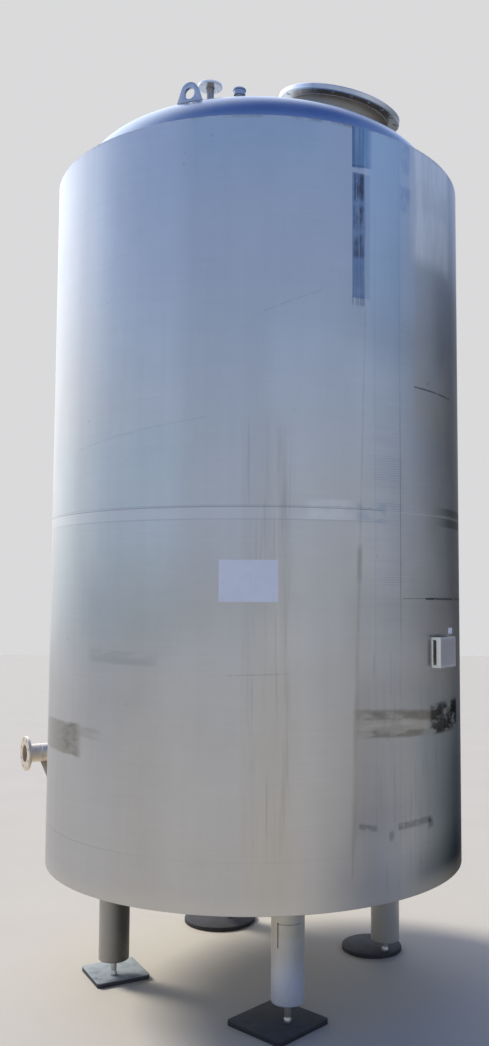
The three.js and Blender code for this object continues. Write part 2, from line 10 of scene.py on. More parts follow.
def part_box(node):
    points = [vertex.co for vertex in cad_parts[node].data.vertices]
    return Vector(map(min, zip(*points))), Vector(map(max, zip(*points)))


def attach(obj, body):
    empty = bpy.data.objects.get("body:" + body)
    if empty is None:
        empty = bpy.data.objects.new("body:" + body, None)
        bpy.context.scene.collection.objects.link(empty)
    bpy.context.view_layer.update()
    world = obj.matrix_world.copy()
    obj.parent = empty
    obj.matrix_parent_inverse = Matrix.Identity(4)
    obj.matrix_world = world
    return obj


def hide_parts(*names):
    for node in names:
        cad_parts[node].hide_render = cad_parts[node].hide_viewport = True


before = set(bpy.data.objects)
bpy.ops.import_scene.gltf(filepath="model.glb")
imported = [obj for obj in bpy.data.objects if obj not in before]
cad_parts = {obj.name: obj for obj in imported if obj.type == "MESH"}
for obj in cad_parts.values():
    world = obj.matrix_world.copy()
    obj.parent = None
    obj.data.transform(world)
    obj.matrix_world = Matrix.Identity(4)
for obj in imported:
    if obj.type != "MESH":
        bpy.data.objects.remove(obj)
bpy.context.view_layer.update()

# Sizes in metres and angles in degrees, as in the solids

JACKET_RADIUS = 1.250
JACKET_SHEET = 0.003
JACKET_LOW = 0.700
JACKET_HIGH = 4.728
JACKET_SIDES = 288
RING_SPACING = 0.05
RIM_ROUND = 0.0015
VESSEL_RADIUS = 1.130
VESSEL_WALL = 0.005
VESSEL_SIDES = 192
ROOF_TANGENT = 4.741
ROOF_CROWN = 2.500
ROOF_KNUCKLE = 0.250
HEAD_THICKNESS = 0.006
HEAD_STEPS = 14
ROOF_WELD_RISE = 0.012
BOTTOM_TANGENT = 1.030
BOTTOM_CROWN = 3.500
BOTTOM_KNUCKLE = 0.100
PLATE = 0.004
SHOULDER_RISE = 0.014

MANHOLE = {
    "azimuth": 54, "radius": 0.610, "rise": 0.487, "tilt": 15,
    "neck": 0.305, "wall": 0.005, "length": 0.205,
    "rim": 0.3775, "thickness": 0.036, "circle": 0.3525, "hole": 0.013, "bolts": 20, "sides": 128,
}
VENT = {
    "azimuth": -21, "radius": 0.780, "rise": 0.117,
    "neck": 0.0212, "wall": 0.0032, "rim": 0.070,
    "thickness": 0.016, "circle": 0.050, "hole": 0.009, "bolts": 4, "sides": 64,
}
SOCKET = {"azimuth": -9, "radius": 0.720, "rise": 0.079, "neck": 0.030, "wall": 0.004}
STUB_SIDES = 48
STUB_INSIDE = 0.015
CAP = {"body": 0.0345, "lip": 0.038, "lip_height": 0.013, "height": 0.040, "top": 0.008}
LUG = {
    "azimuths": (-22.3, 157.7), "radius": 1.000, "height": 0.108, "foot": 0.148,
    "round": 0.052, "flank": 20, "thickness": 0.020, "sunk": 0.009, "edge": 0.0015,
    "hole_width": 0.060, "hole_height": 0.064, "hole_rise": 0.045,
}
NOZZLE = {
    "azimuth": -106.9, "height": 1.226, "bend": 45, "bend_radius": 0.152,
    "neck": 0.05715, "wall": 0.0036, "stub": 1.344, "straight": 0.104,
    "rim": 0.110, "thickness": 0.020, "circle": 0.090, "hole": 0.009, "bolts": 8, "sides": 96,
    "gusset": 0.008, "drop": 0.235, "reach": 0.228, "toe": 0.110, "edge": 0.001,
}
FACE_RECESS = 0.002
LEG_CIRCLE = 0.844
LEG_RADIUS = 0.0889
LEG_WALL = 0.005
LEG_END = 0.012
LEG_TOP = 0.985
LEG_CORNER = ((0.009, 0.0), (0.0045, 0.0012), (0.0012, 0.0045), (0.0, 0.009))
LEG_HOLE = {"leg": "right", "place": (-0.035, -0.05, 0.635), "radius": 0.013}
SPINDLE_RADIUS = 0.018
SPINDLE_GAP = 0.0006
SPINDLE_TOP = 0.190
PAD = 0.028
PAD_CORNER = 0.012
PAD_EDGE = 0.003
LEGS = {
    "front": {"azimuth": 12.2, "end": 0.132, "side": 0.385, "turn": 46, "shift": (-0.051, 0.035)},
    "right": {"azimuth": 102.2, "end": 0.098, "round": 0.190, "shift": (-0.071, 0.122)},
    "rear": {"azimuth": 192.2, "end": 0.132, "round": 0.245, "shift": (-0.060, 0.030)},
    "left": {"azimuth": 282.2, "end": 0.120, "side": 0.318, "turn": 27, "shift": (0.001, 0.071)},
}
BRACKET = {
    "azimuth": 54.2, "width": 0.195, "height": 0.164, "standoff": 0.051, "sheet": 0.003,
    "centre": 1.950, "slot_width": 0.020, "slot_height": 0.136, "slot_edge": 0.005, "fold": 0.004,
}
BRACKET_FRONT = JACKET_RADIUS + BRACKET["standoff"]
NAME_PLATE = {"width": 0.172, "height": 0.138, "thickness": 0.0015}
RIVET_PLACES = [(across, up) for across in (-0.078, 0.078) for up in (-0.061, 0.061)]
RIVET_HEAD = [(0, 0.0022), (0.0022, 0.0018), (0.0036, 0.0006), (0.0038, -0.0005), (0, -0.0005)]
SIGN = {"azimuth": -1.8, "width": 0.297, "height": 0.210, "centre": 2.328, "thickness": 0.001}
LABEL = {"azimuth": 61.4, "width": 0.072, "height": 0.034, "centre": 2.060, "thickness": 0.0004}
SEAT = 0.0003
SHARP = 32
HOLE_SIDES = 28
SEARCH_DEPTH = 0.6
HALVINGS = 40
RIPPLE = {"pitch": 0.006, "swell": 0.16, "end": 0.35}
BEAD_RADIUS = {
    "shoulder_inner": 0.0045, "shoulder_outer": 0.0022, "vessel": 0.004, "manhole_roof": 0.006,
    "manhole_flange": 0.005, "stub_roof": 0.0035, "vent_flange": 0.003, "lug": 0.005,
    "nozzle_flange": 0.004, "nozzle_root": 0.005, "gusset": 0.0035, "leg": 0.005,
}

TINY = 1e-6
UP = Vector((0, 0, 1))
low_corner, high_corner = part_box("jacket_shoulder_ring")
AXIS = Vector(((low_corner.x + high_corner.x) / 2, (low_corner.y + high_corner.y) / 2, 0))
AROUND = Matrix.Translation(AXIS)


# Shapes

def outward(azimuth):
    """Unit vector from the tank's axis at an azimuth, in degrees from the front."""
    angle = math.radians(azimuth)
    return Vector((math.sin(angle), -math.cos(angle), 0))


def spot(azimuth, radius, height=0.0):
    return AXIS + outward(azimuth) * radius + UP * height


def basis(origin, x, y, z):
    """A matrix that places local axes at an origin."""
    columns = Matrix((x, y, z)).transposed().to_4x4()
    return Matrix.Translation(origin) @ columns


def circle(radius, segments, x=0.0, y=0.0):
    angles = [2 * math.pi * i / segments for i in range(segments)]
    return [(x + radius * math.cos(a), y + radius * math.sin(a)) for a in angles]


def circle_on(place, radius, segments, height=0.0):
    """Points of a circle at a height over a place's own plane."""
    return [place @ Vector((x, y, height)) for x, y in circle(radius, segments)]


def quads(rows, segments):
    """Faces between neighbouring rings of vertex numbers, with collapsed corners left out."""
    faces = []
    for low, high in zip(rows, rows[1:]):
        for i in range(segments):
            j = (i + 1) % segments
            corners = [low[i], low[j], high[j], high[i]]
            face = [v for k, v in enumerate(corners) if v != corners[k - 1]]
            if len(face) > 2:
                faces.append(face)
    return faces


def revolve(profile, segments):
    """A profile of (radius, height) turned about Z; it closes on itself if it misses the axis."""
    vertices = []
    rows = []
    for radius, height in profile:
        if radius < TINY:
            rows.append([len(vertices)] * segments)
            vertices.append((0.0, 0.0, height))
            continue
        rows.append(range(len(vertices), len(vertices) + segments))
        vertices += [(x, y, height) for x, y in circle(radius, segments)]
    if profile[0][0] > TINY and profile[-1][0] > TINY:
        rows.append(rows[0])
    return vertices, quads(rows, segments)


def ring(centre, direction, radius, sides):
    """Points of a circle that stands across a direction."""
    helper = UP if abs(direction.z) < 0.9 else Vector((1, 0, 0))
    across = direction.cross(helper).normalized()
    rise = across.cross(direction)
    return [centre + across * x + rise * y for x, y in circle(radius, sides)]


def loft(rings, closed=True):
    """Joins rings of points; the last is joined to the first, or else both ends get a face."""
    sides = len(rings[0])
    vertices = [point for points in rings for point in points]
    rows = [range(start, start + sides) for start in range(0, len(vertices), sides)]
    if closed:
        return vertices, quads(rows + [rows[0]], sides)
    return vertices, quads(rows, sides) + [list(rows[0]), list(rows[-1])]


def bead(points, radius, pitch=RIPPLE["pitch"], sides=8, closed=True):
    """A rippled weld bead along points, about one ripple for each pitch of its length."""
    count = len(points)
    rings = []
    run = 0.0
    for i, point in enumerate(points):
        after = points[(i + 1) % count] if closed or i + 1 < count else point
        before = points[i - 1] if closed or i else point
        swell = 1 + RIPPLE["swell"] * math.sin(2 * math.pi * run / pitch)
        if not closed and i in (0, count - 1):
            swell = RIPPLE["end"]
        rings.append(ring(point, (after - before).normalized(), radius * swell, sides))
        run += (after - point).length
    return loft(rings, closed)


def prism(outline, low, high):
    """A flat outline of (x, y) extruded along Z."""
    count = len(outline)
    vertices = [(x, y, low) for x, y in outline] + [(x, y, high) for x, y in outline]
    faces = [list(range(count)), list(range(count, 2 * count))]
    for i in range(count):
        j = (i + 1) % count
        faces.append([i, j, count + j, count + i])
    return vertices, faces


def moved(shape, matrix):
    vertices, faces = shape
    return [matrix @ Vector(v) for v in vertices], faces


def joined(*shapes):
    vertices = []
    faces = []
    for more_vertices, more_faces in shapes:
        start = len(vertices)
        vertices += more_vertices
        faces += [[start + v for v in face] for face in more_faces]
    return vertices, faces


def bare_object(name, shape):
    """An object of a shape; the faces of a closed shape are turned outwards."""
    vertices, faces = shape
    mesh = bpy.data.meshes.new(name)
    mesh.from_pydata([tuple(v) for v in vertices], [], faces)
    work = bmesh.new()
    work.from_mesh(mesh)
    bmesh.ops.recalc_face_normals(work, faces=work.faces)
    work.to_mesh(mesh)
    work.free()
    piece = bpy.data.objects.new(name, mesh)
    bpy.context.scene.collection.objects.link(piece)
    return piece


def finish_piece(piece, material, slot=None, stands_for=(), sharp=SHARP):
    """Lets a piece ride on the tank, shaded smooth except over sharp edges."""
    mesh = piece.data
    mesh.polygons.foreach_set("use_smooth", [True] * len(mesh.polygons))
    mesh.set_sharp_from_angle(angle=math.radians(sharp))
    mesh.materials.clear()
    mesh.materials.append(material)
    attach(piece, "root")
    if stands_for:
        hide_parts(*stands_for)


def make(name, shape, *look, cut=None, rounding=None, place=None):
    """Adds a finished piece; before that it is cut, rounded and put in place as far as asked."""
    piece = bare_object(name, shape)
    if cut is not None:
        carve(piece, cut)
    if rounding is not None:
        soften(piece, rounding)
    if place is not None:
        piece.data.transform(place)
    finish_piece(piece, *look)


def turned(name, profile, segments, place, *look):
    make(name, moved(revolve(profile, segments), place), *look)


def weld(name, points, kind, **options):
    make(name, bead(points, BEAD_RADIUS[kind], **options), WELD)


def change(piece, kind, **settings):
    """Applies a modifier to a piece."""
    modifier = piece.modifiers.new("change", kind)
    for name, value in settings.items():
        setattr(modifier, name, value)
    bpy.context.view_layer.update()
    graph = bpy.context.evaluated_depsgraph_get()
    mesh = bpy.data.meshes.new_from_object(piece.evaluated_get(graph))
    piece.modifiers.clear()
    piece.data = mesh


def carve(piece, cutter_shape):
    """Cuts one closed shape, or several that don't touch, out of a piece."""
    cutter = bare_object(piece.name + "_cutter", cutter_shape)
    change(piece, "BOOLEAN", operation="DIFFERENCE", solver="EXACT", object=cutter)
    bpy.data.objects.remove(cutter)


def soften(piece, width):
    """Rounds the edges of a piece."""
    limit = {"limit_method": "ANGLE", "angle_limit": math.radians(40)}
    change(piece, "BEVEL", width=width, segments=2, harden_normals=False, **limit)


def dish(radius, knuckle, crown, start):
    """Half outline of a dished end above its tangent line, from the height start to its middle."""
    centre = radius - knuckle
    join = math.asin(centre / (crown - knuckle))
    crown_centre = -math.sqrt((crown - knuckle) ** 2 - centre ** 2)
    first = math.asin(start / knuckle)
    points = []
    for i in range(HEAD_STEPS + 1):
        angle = first + i / HEAD_STEPS * (math.pi / 2 - join - first)
        points.append((centre + knuckle * math.cos(angle), knuckle * math.sin(angle)))
    for i in range(1, HEAD_STEPS + 1):
        angle = join * (1 - i / HEAD_STEPS)
        points.append((crown * math.sin(angle), crown_centre + crown * math.cos(angle)))
    return points


def dished_end(knuckle, crown, start):
    outside = dish(VESSEL_RADIUS, knuckle, crown, start)
    t = HEAD_THICKNESS
    inside = dish(VESSEL_RADIUS - t, knuckle - t, crown - t, start)
    return outside + inside[::-1]


def roof_height(radius):
    """Height of the roof's outside at a radius."""
    centre = VESSEL_RADIUS - ROOF_KNUCKLE
    join = ROOF_CROWN * centre / (ROOF_CROWN - ROOF_KNUCKLE)
    if radius > join:
        return ROOF_TANGENT + math.sqrt(ROOF_KNUCKLE ** 2 - (radius - centre) ** 2)
    crown_centre = math.sqrt((ROOF_CROWN - ROOF_KNUCKLE) ** 2 - centre ** 2)
    return ROOF_TANGENT + math.sqrt(ROOF_CROWN ** 2 - radius ** 2) - crown_centre


def above_roof(point):
    flat = point - AXIS
    return point.z - roof_height(math.hypot(flat.x, flat.y))


def flange_shape(spec):
    """A slip-on flange with its face at z = 0, chamfered at its rims."""
    bore = spec["neck"] + SEAT
    rim = spec["rim"]
    thick = spec["thickness"]
    chamfer = 0.01 * math.sqrt(rim)
    profile = [
        (bore, -thick), (rim - chamfer, -thick), (rim, -thick + chamfer),
        (rim, -chamfer), (rim - chamfer, 0), (bore, 0),
    ]
    return revolve(profile, spec["sides"])


def drilled_flange(name, spec, place, material, stands_for):
    """A flange with its bolt holes, the first half a pitch off the flange's X axis."""
    drills = []
    for i in range(spec["bolts"]):
        angle = (i + 0.5) / spec["bolts"] * 2 * math.pi
        x = spec["circle"] * math.cos(angle)
        y = spec["circle"] * math.sin(angle)
        hole = circle(spec["hole"], HOLE_SIDES, x, y)
        drills.append(prism(hole, -2 * spec["thickness"], spec["thickness"]))
    look = (material, "fitting_steel", stands_for)
    make(name, flange_shape(spec), *look, cut=joined(*drills), place=place)


# Materials

def feed(tree, entry, value):
    """Links a field or a socket to a node's input, or sets a plain value on it."""
    source = value.socket if isinstance(value, Field) else value
    if isinstance(source, bpy.types.NodeSocket):
        tree.links.new(source, entry)
    else:
        entry.default_value = source


def add_node(tree, kind, entries, **settings):
    """A shader node with its settings, and its inputs fed by name or number."""
    node = tree.nodes.new("ShaderNode" + kind)
    for name, value in settings.items():
        setattr(node, name, value)
    for entry, value in entries.items():
        feed(tree, node.inputs[entry], value)
    return node


def fields_of(tree, vector):
    """The three coordinates of a vector."""
    return [Field(tree, socket) for socket in add_node(tree, "SeparateXYZ", {0: vector}).outputs]


def blended(tree, base, color, mask, blend="MIX", clamp=True):
    """A colour laid over another, as far as the mask says."""
    entries = {0: mask, 6: base, 7: (*color, 1)}
    node = add_node(tree, "Mix", entries, data_type="RGBA", blend_type=blend, clamp_factor=clamp)
    return node.outputs[2]


class Field:
    """A number that varies over the surface, with plain arithmetic."""

    def __init__(self, tree, socket):
        self.tree = tree
        self.socket = socket

    def _math(self, operation, *others):
        node = add_node(self.tree, "Math", dict(enumerate((self, *others))), operation=operation)
        return Field(self.tree, node.outputs[0])

    def __add__(self, other):
        return self._math("ADD", other)

    def __sub__(self, other):
        return self._math("SUBTRACT", other)

    def __mul__(self, other):
        return self._math("MULTIPLY", other)

    def wave(self, pitch):
        """A sine between 0 and 1 that repeats every pitch."""
        return (self * (2 * math.pi / pitch))._math("SINE") * 0.5 + 0.5

    def angle_to(self, other):
        return self._math("ARCTAN2", other)

    def inverse(self):
        """One less the number."""
        return self * -1 + 1

    def ramp(self, start, end):
        """Rises smoothly from 0 at start to 1 at end; start may be the larger."""
        entries = {"Value": self, "From Min": start, "From Max": end}
        node = add_node(self.tree, "MapRange", entries, interpolation_type="SMOOTHSTEP")
        return Field(self.tree, node.outputs["Result"])

    def near(self, value, core, reach):
        """1 at a value and as far from it as the core, falling to 0 at the reach."""
        return (self - value)._math("ABSOLUTE").ramp(reach, core)

    def within(self, low, high, soft):
        """1 between low and high, falling to 0 over the soft width outside them."""
        half = (high - low) / 2
        return self.near((low + high) / 2, half, half + soft)


class Surface:
    """A node material on one Principled shader, built from positions on the object."""

    def __init__(self, name, metallic, roughness, color):
        self.material = bpy.data.materials.new(name)
        self.material.use_nodes = True
        self.tree = self.material.node_tree
        self.shader = self.tree.nodes["Principled BSDF"]
        self.shader.inputs["Metallic"].default_value = metallic
        place = add_node(self.tree, "TexCoord", {}).outputs["Object"]
        self.position = self.mapped(place, (1, 1, 1), -AXIS)
        self.x, self.y, self.z = fields_of(self.tree, self.position)
        self.azimuth = self.x.angle_to(self.y * -1) * math.degrees(1)
        self.color = self.constant(color)
        self.edge = None
        self.roughness = roughness
        self.relief = None

    def constant(self, color):
        node = self.tree.nodes.new("ShaderNodeRGB")
        node.outputs[0].default_value = (*color, 1)
        return node.outputs[0]

    def mapped(self, place, scale, shift):
        entries = {"Vector": place, "Scale": scale, "Location": shift}
        return add_node(self.tree, "Mapping", entries).outputs[0]

    def noise(self, along, up=None, detail=3.0, offset=0.0, rough=0.6):
        """Noise with so many features a metre across the plan and, if given, up the height."""
        scale = (along, along, along if up is None else up)
        place = self.mapped(self.position, scale, (offset, offset * 1.7, offset * 0.6))
        entries = {"Vector": place, "Scale": 1.0, "Detail": detail, "Roughness": rough}
        return Field(self.tree, add_node(self.tree, "TexNoise", entries).outputs["Fac"])

    def patch(self, around, height, z=None):
        """1 in a patch of the shell; each range is a low, a high and a soft width outside them."""
        heights = self.z if z is None else z
        return self.azimuth.within(*around) * heights.within(*height)

    def tint(self, color, mask, blend="MIX"):
        """Lays a colour over what is there, where the mask is 1."""
        self.color = blended(self.tree, self.color, color, mask, blend)

    def tint_edge(self, color, mask):
        """Colours what the metal reflects at a glancing angle, where the mask is 1."""
        self.edge = blended(self.tree, self.constant((1, 1, 1)), color, mask)

    def darken(self, loss):
        """Takes a share of the colour away, or adds to it where the share is negative."""
        self.color = blended(self.tree, self.color, (0, 0, 0), loss, clamp=False)

    def shade_by(self, factor):
        self.darken(factor.inverse())

    def roughen(self, amount):
        self.roughness = amount + self.roughness

    def raise_by(self, height):
        self.relief = height if self.relief is None else self.relief + height

    def done(self):
        """Joins what was built to the shader."""
        looks = {"Base Color": self.color, "Roughness": self.roughness}
        if self.edge is not None:
            looks["Specular Tint"] = self.edge
        if self.relief is not None:
            entries = {"Strength": 1.0, "Distance": 1.0, "Height": self.relief}
            looks["Normal"] = add_node(self.tree, "Bump", entries).outputs[0]
        for entry, value in looks.items():
            feed(self.tree, self.shader.inputs[entry], value)
        return self.material


DARK = (0.05, 0.05, 0.055)
RUST = (0.16, 0.10, 0.06)
DUST = (0.36, 0.33, 0.28)
GROUND_BAND = (2.640, 2.704)
GIRTH_WELD = 2.6985
FOOT_WELD = 0.955
SEAM = 37.4
FAINT_SEAM = 29.5
CHATTER = 0.0125
FILM_EDGE = 23.05
FILM_ABOVE_BREAK = (4.510, 4.758)
FILM_BELOW_BREAK = (3.810, 4.472)


def scratch(s, first, last, width):
    """A thin mark between two places, each an azimuth and a height."""
    slope = (last[1] - first[1]) / (last[0] - first[0])
    line = (s.azimuth - first[0]) * slope + first[1]
    return (s.z - line).near(0, width * 0.3, width) * s.azimuth.within(first[0], last[0], 0.6)


def from_leaning_line(s):
    """Degrees to the right of a line of stains that leans to the right as it rises."""
    return s.azimuth - s.z * 1.3 - 21.85


def jacket_material():
    s = Surface("jacket_brushed_steel_and_painted_reflections", 1.0, 0.36, (0.52, 0.52, 0.52))
    mottle = s.noise(1.1, 0.7, 4.0, rough=0.55)
    clouds = s.noise(4.0, 2.6, 4.0, 3.1)
    brush = s.noise(1.6, 240.0)
    rubbed = s.noise(2.5, 60.0, offset=5.9)
    rain = s.noise(16.0, 0.5, offset=7.7)
    s.shade_by(mottle * 0.22 + clouds * 0.12 + brush * 0.10 + rubbed * 0.07 + rain * 0.08 + 0.705)
    s.roughen((brush - 0.5) * 0.08 + (clouds - 0.5) * 0.10)
    s.raise_by(brush * 0.00008 + mottle * 0.004)
    weathering_and_painted_reflections(s, rain)
    sheet_joints(s)
    film_strip(s)
    smudges(s, rain)
    scratches(s)
    return s.done()


def weathering_and_painted_reflections(s, rain):
    """Broad changes of shade: a darker right side and a dark spot at the left as painted reflection of dark
    surroundings, a painted sheen near the top right, a foot lightened as painted reflection of the floor,
    and faint drips.
    """
    low, high = JACKET_LOW, JACKET_HIGH
    # Darker and lighter patches: the darker lower right and the dark spot at the left are painted reflection
    # of dark surroundings; the other rows lighten patches of the shell.
    for around, height, loss in (
        ((66, 80, 34), (low, 0.9, 1.4), 0.58),
        ((48, 70, 12), (low, 0.78, 0.27), 0.38),
        ((-78, -75, 16), (2.20, 2.30, 0.60), 0.12),
        ((26, 56, 8), (2.45, 3.4, 0.3), -0.16),
        ((-43, -22, 8), (2.6, high, 0.5), -0.13),
        ((6, 18, 6), (2.2, 3.5, 0.4), -0.08),
        ((28, 42, 3), (3.9, high, 0.4), -0.13),
        ((-18, 10, 8), (low, 1.95, 0.3), -0.08),
    ):
        s.darken(s.patch(around, height) * loss)
    beyond = from_leaning_line(s).ramp(0.0, 0.5) * s.azimuth.ramp(60, 44)
    s.darken(beyond * s.z.within(1.15, 1.75, 0.20) * 0.15)
    # Painted shade: the right side's glancing reflection is dimmed, most of all low down, as if it reflected
    # dark surroundings.
    s.tint_edge((0.15, 0.15, 0.16), s.azimuth.within(50, 86, 14) * (s.z.ramp(3.0, 1.75) * 0.80 + 0.16))
    for around, height, color in (
        ((-60, -24, 14), (2.2, 2.9, 0.4), (0.91, 0.97, 1.0)),
        ((-12, 12, 10), (4.65, high, 0.35), (0.92, 0.99, 1.0)),
        ((4, 24, 10), (low, 2.6, 1.0), (1.0, 0.97, 0.92)),
        ((-30, 4, 10), (low, 2.1, 0.5), (1.0, 0.98, 0.94)),
        ((29, 37, 3), (3.9, high, 0.6), (0.87, 0.96, 1.0)),
        ((52, 84, 18), (low, 1.5, 0.45), (0.84, 0.94, 1.0)),
    ):
        s.tint(color, s.patch(around, height), "MULTIPLY")
    cloud = s.noise(5.0, 5.0, 4.0, 8.8).ramp(0.32, 0.62)
    sheen_streaks = s.noise(14.0, 2.0, offset=10.4).ramp(0.30, 0.60)
    # Painted sheen at the top right: a warm tint and a bright band stand for a reflected highlight, with a
    # brownish band in it; the dark band below them is painted reflection of dark surroundings.
    s.tint((0.68, 0.59, 0.48), s.patch((46, 60, 6), (3.3, high, 0.3)) * (cloud * 0.20 + 0.38))
    s.tint((1.0, 0.89, 0.76), s.patch((45, 60, 4.5), (4.16, high, 0.12)) * (sheen_streaks * 0.28 + 0.52))
    s.tint((0.50, 0.43, 0.35), s.patch((49, 60, 5), (4.44, 4.54, 0.07)) * cloud * 0.22)
    s.tint((0.20, 0.19, 0.19), s.patch((58, 72, 11), (3.70, 3.95, 0.30)) * (cloud * 0.14 + 0.26))
    s.tint((0.38, 0.39, 0.42), rain.ramp(0.55, 0.75) * s.z.ramp(4.0, 4.7) * 0.22)
    rim = s.z.ramp(4.708, 4.724) * s.noise(6.0, 6.0, 4.0, 15.1, 0.7).ramp(0.46, 0.66)
    s.tint((0.16, 0.12, 0.08), rim * 0.45)
    # Painted reflection: the foot of the shell lightened as if it reflected the lit floor.
    s.tint((0.64, 0.62, 0.56), s.z.ramp(0.82, 0.70) * 0.40)


def sheet_joints(s):
    """The ground band at the girth weld with a painted glint on it, the seams, a leaning line of stains and
    the grinder's chatter.
    """
    left_of_seam = s.azimuth.within(-140.0, 27.0, 9.0)
    patchy = s.noise(9.0, 16.0, offset=3.3)
    s.tint((0.66, 0.66, 0.69), s.z.within(*GROUND_BAND, 0.003) * left_of_seam * 0.20)
    # Painted glint: a bright patch on the ground band that stands for a reflected highlight.
    painted_glint = s.patch((13.5, 21.5, 3.0), (2.645, 2.735, 0.012))
    s.tint((0.70, 0.69, 0.68), painted_glint * patchy.ramp(0.30, 0.55) * 0.55)
    cool = s.patch((25.0, 32.0, 1.5), (2.640, 2.730, 0.010))
    s.tint((0.34, 0.42, 0.50), cool * patchy.ramp(0.42, 0.55) * 0.40)
    streaks = s.z.within(2.714, 2.742, 0.012) + s.z.within(2.648, 2.684, 0.014)
    s.tint((0.10, 0.10, 0.11), streaks * s.azimuth.within(62.0, 78.0, 12.0) * 0.55)
    low, high = GROUND_BAND
    edges = s.z.near(high + 0.002, 0.001, 0.005) + s.z.near(low - 0.003, 0.001, 0.005)
    s.tint(DARK, edges * left_of_seam * 0.15)
    girth = s.z.near(GIRTH_WELD, 0.001, 0.004)
    s.tint(DARK, girth * (left_of_seam * 0.24 + 0.12))
    s.raise_by(girth * 0.0005)

    seam = s.azimuth.near(SEAM, 0.05, 0.17)
    s.tint(DARK, seam * (s.z.within(2.3, 3.1, 0.4) * 0.30 + 0.12))
    s.raise_by(seam * 0.0005)
    line = from_leaning_line(s)
    grain = s.noise(30.0, 7.0, 4.0, 4.2, 0.7).ramp(0.30, 0.6)
    s.tint(RUST, line.near(0, 0.05, 0.45) * s.z.within(0.9, 3.7, 0.1) * grain * 0.18)
    clots = s.noise(14.0, 3.0, 4.0, 2.2).ramp(0.30, 0.6)
    smear = line.near(0, 0.3, 1.1) * (clots * 0.7 + 0.3)
    s.tint((0.28, 0.26, 0.20), smear * s.z.within(1.05, 1.70, 0.15) * 0.32)
    s.tint((0.40, 0.37, 0.29), smear * s.z.within(1.85, 2.30, 0.10) * 0.26)
    s.tint((0.20, 0.19, 0.17), smear * s.z.within(2.36, 2.48, 0.06) * 0.34)
    s.tint(DARK, s.azimuth.near(FAINT_SEAM, 0.05, 0.16) * s.z.within(1.2, 4.2, 0.3) * 0.10)
    foot = s.z.near(FOOT_WELD, 0.001, 0.004)
    s.tint(DARK, foot * (s.azimuth.within(-120.0, -60.0, 40.0) * 0.16 + 0.05))

    fade = s.azimuth.within(35.0, 37.3, 14.0) * s.azimuth.ramp(39.5, 37.5)
    heights = s.z.within(2.74, 3.20, 0.15) + s.z.within(2.15, 2.62, 0.05) * 0.7
    uneven = s.noise(1.2, 14.0, offset=2.4).ramp(0.36, 0.62)
    drift = s.noise(0.8, 1.5, 2.0, 6.6, 0.5) * 0.03
    chatter = (s.z + drift).wave(CHATTER) * uneven * fade * heights
    s.tint((0.28, 0.30, 0.35), chatter * 0.36)
    s.raise_by(chatter * 0.0002)


def film_strip(s):
    """What is left of a strip of blue film near the top: a smeared piece, a bare break, and
    below it a stained column with a paler one at its right."""
    streak = s.noise(95.0, 2.2, 4.0, 5.5)
    blotch = s.noise(16.0, 8.0, 4.0, 9.3, 0.65)
    wander = s.noise(5.0, 4.0, offset=1.3) - 0.5
    azimuth = s.azimuth + wander * 0.8
    z = s.z + wander * 0.02 - (s.azimuth - 25.0) * 0.002
    start = s.azimuth.ramp(FILM_EDGE, FILM_EDGE + 0.20)
    above_break = start * z.within(*FILM_ABOVE_BREAK, 0.006)
    s.tint((0.20, 0.32, 0.43), above_break * azimuth.ramp(29.2, 27.3) * (streak * 0.5 + blotch * 0.4 + 0.35))
    middle = azimuth.within(23.9, 26.2, 0.6) * z.within(4.53, 4.70, 0.05)
    s.tint((0.12, 0.17, 0.25), middle * streak.ramp(0.38, 0.60) * 0.45)
    edge = above_break * s.azimuth.within(23.25, 23.6, 0.45)
    s.tint((0.12, 0.16, 0.23), edge * blotch.ramp(0.20, 0.60) * 0.75)
    s.tint((0.10, 0.13, 0.18), start * azimuth.ramp(27.0, 26.0) * z.within(4.513, 4.520, 0.005) * 0.50)
    below_break = start * s.z.within(*FILM_BELOW_BREAK, 0.010)
    s.tint((0.38, 0.43, 0.48), below_break * azimuth.ramp(28.6, 27.6) * 0.65)
    column = below_break * azimuth.ramp(27.0, 26.3)
    s.tint((0.17, 0.24, 0.34), column * (streak * 0.8 + blotch * 0.4 + 0.15))
    stains = z.within(4.34, 4.46, 0.03) + z.within(4.19, 4.28, 0.04) + z.within(4.04, 4.13, 0.03) * 0.8
    stains = (stains + z.within(3.83, 3.96, 0.05) * 0.15) * azimuth.within(23.8, 26.1, 0.7)
    grimy = blotch.ramp(0.30, 0.56) * streak.ramp(0.28, 0.52)
    s.tint((0.060, 0.050, 0.060), stains * grimy * 0.80)
    ends = azimuth.within(23.3, 26.4, 0.5) * s.z.within(3.775, 3.805, 0.020)
    s.tint((0.13, 0.15, 0.20), ends * streak.ramp(0.40, 0.60) * 0.50)
    beside = s.z.within(4.36, 4.46, 0.04) + s.z.within(4.58, 4.70, 0.05) * 0.8
    beside = beside * s.azimuth.within(38.8, 41.0, 1.6)
    s.tint((0.24, 0.33, 0.46), beside * blotch.ramp(0.36, 0.60) * 0.48)


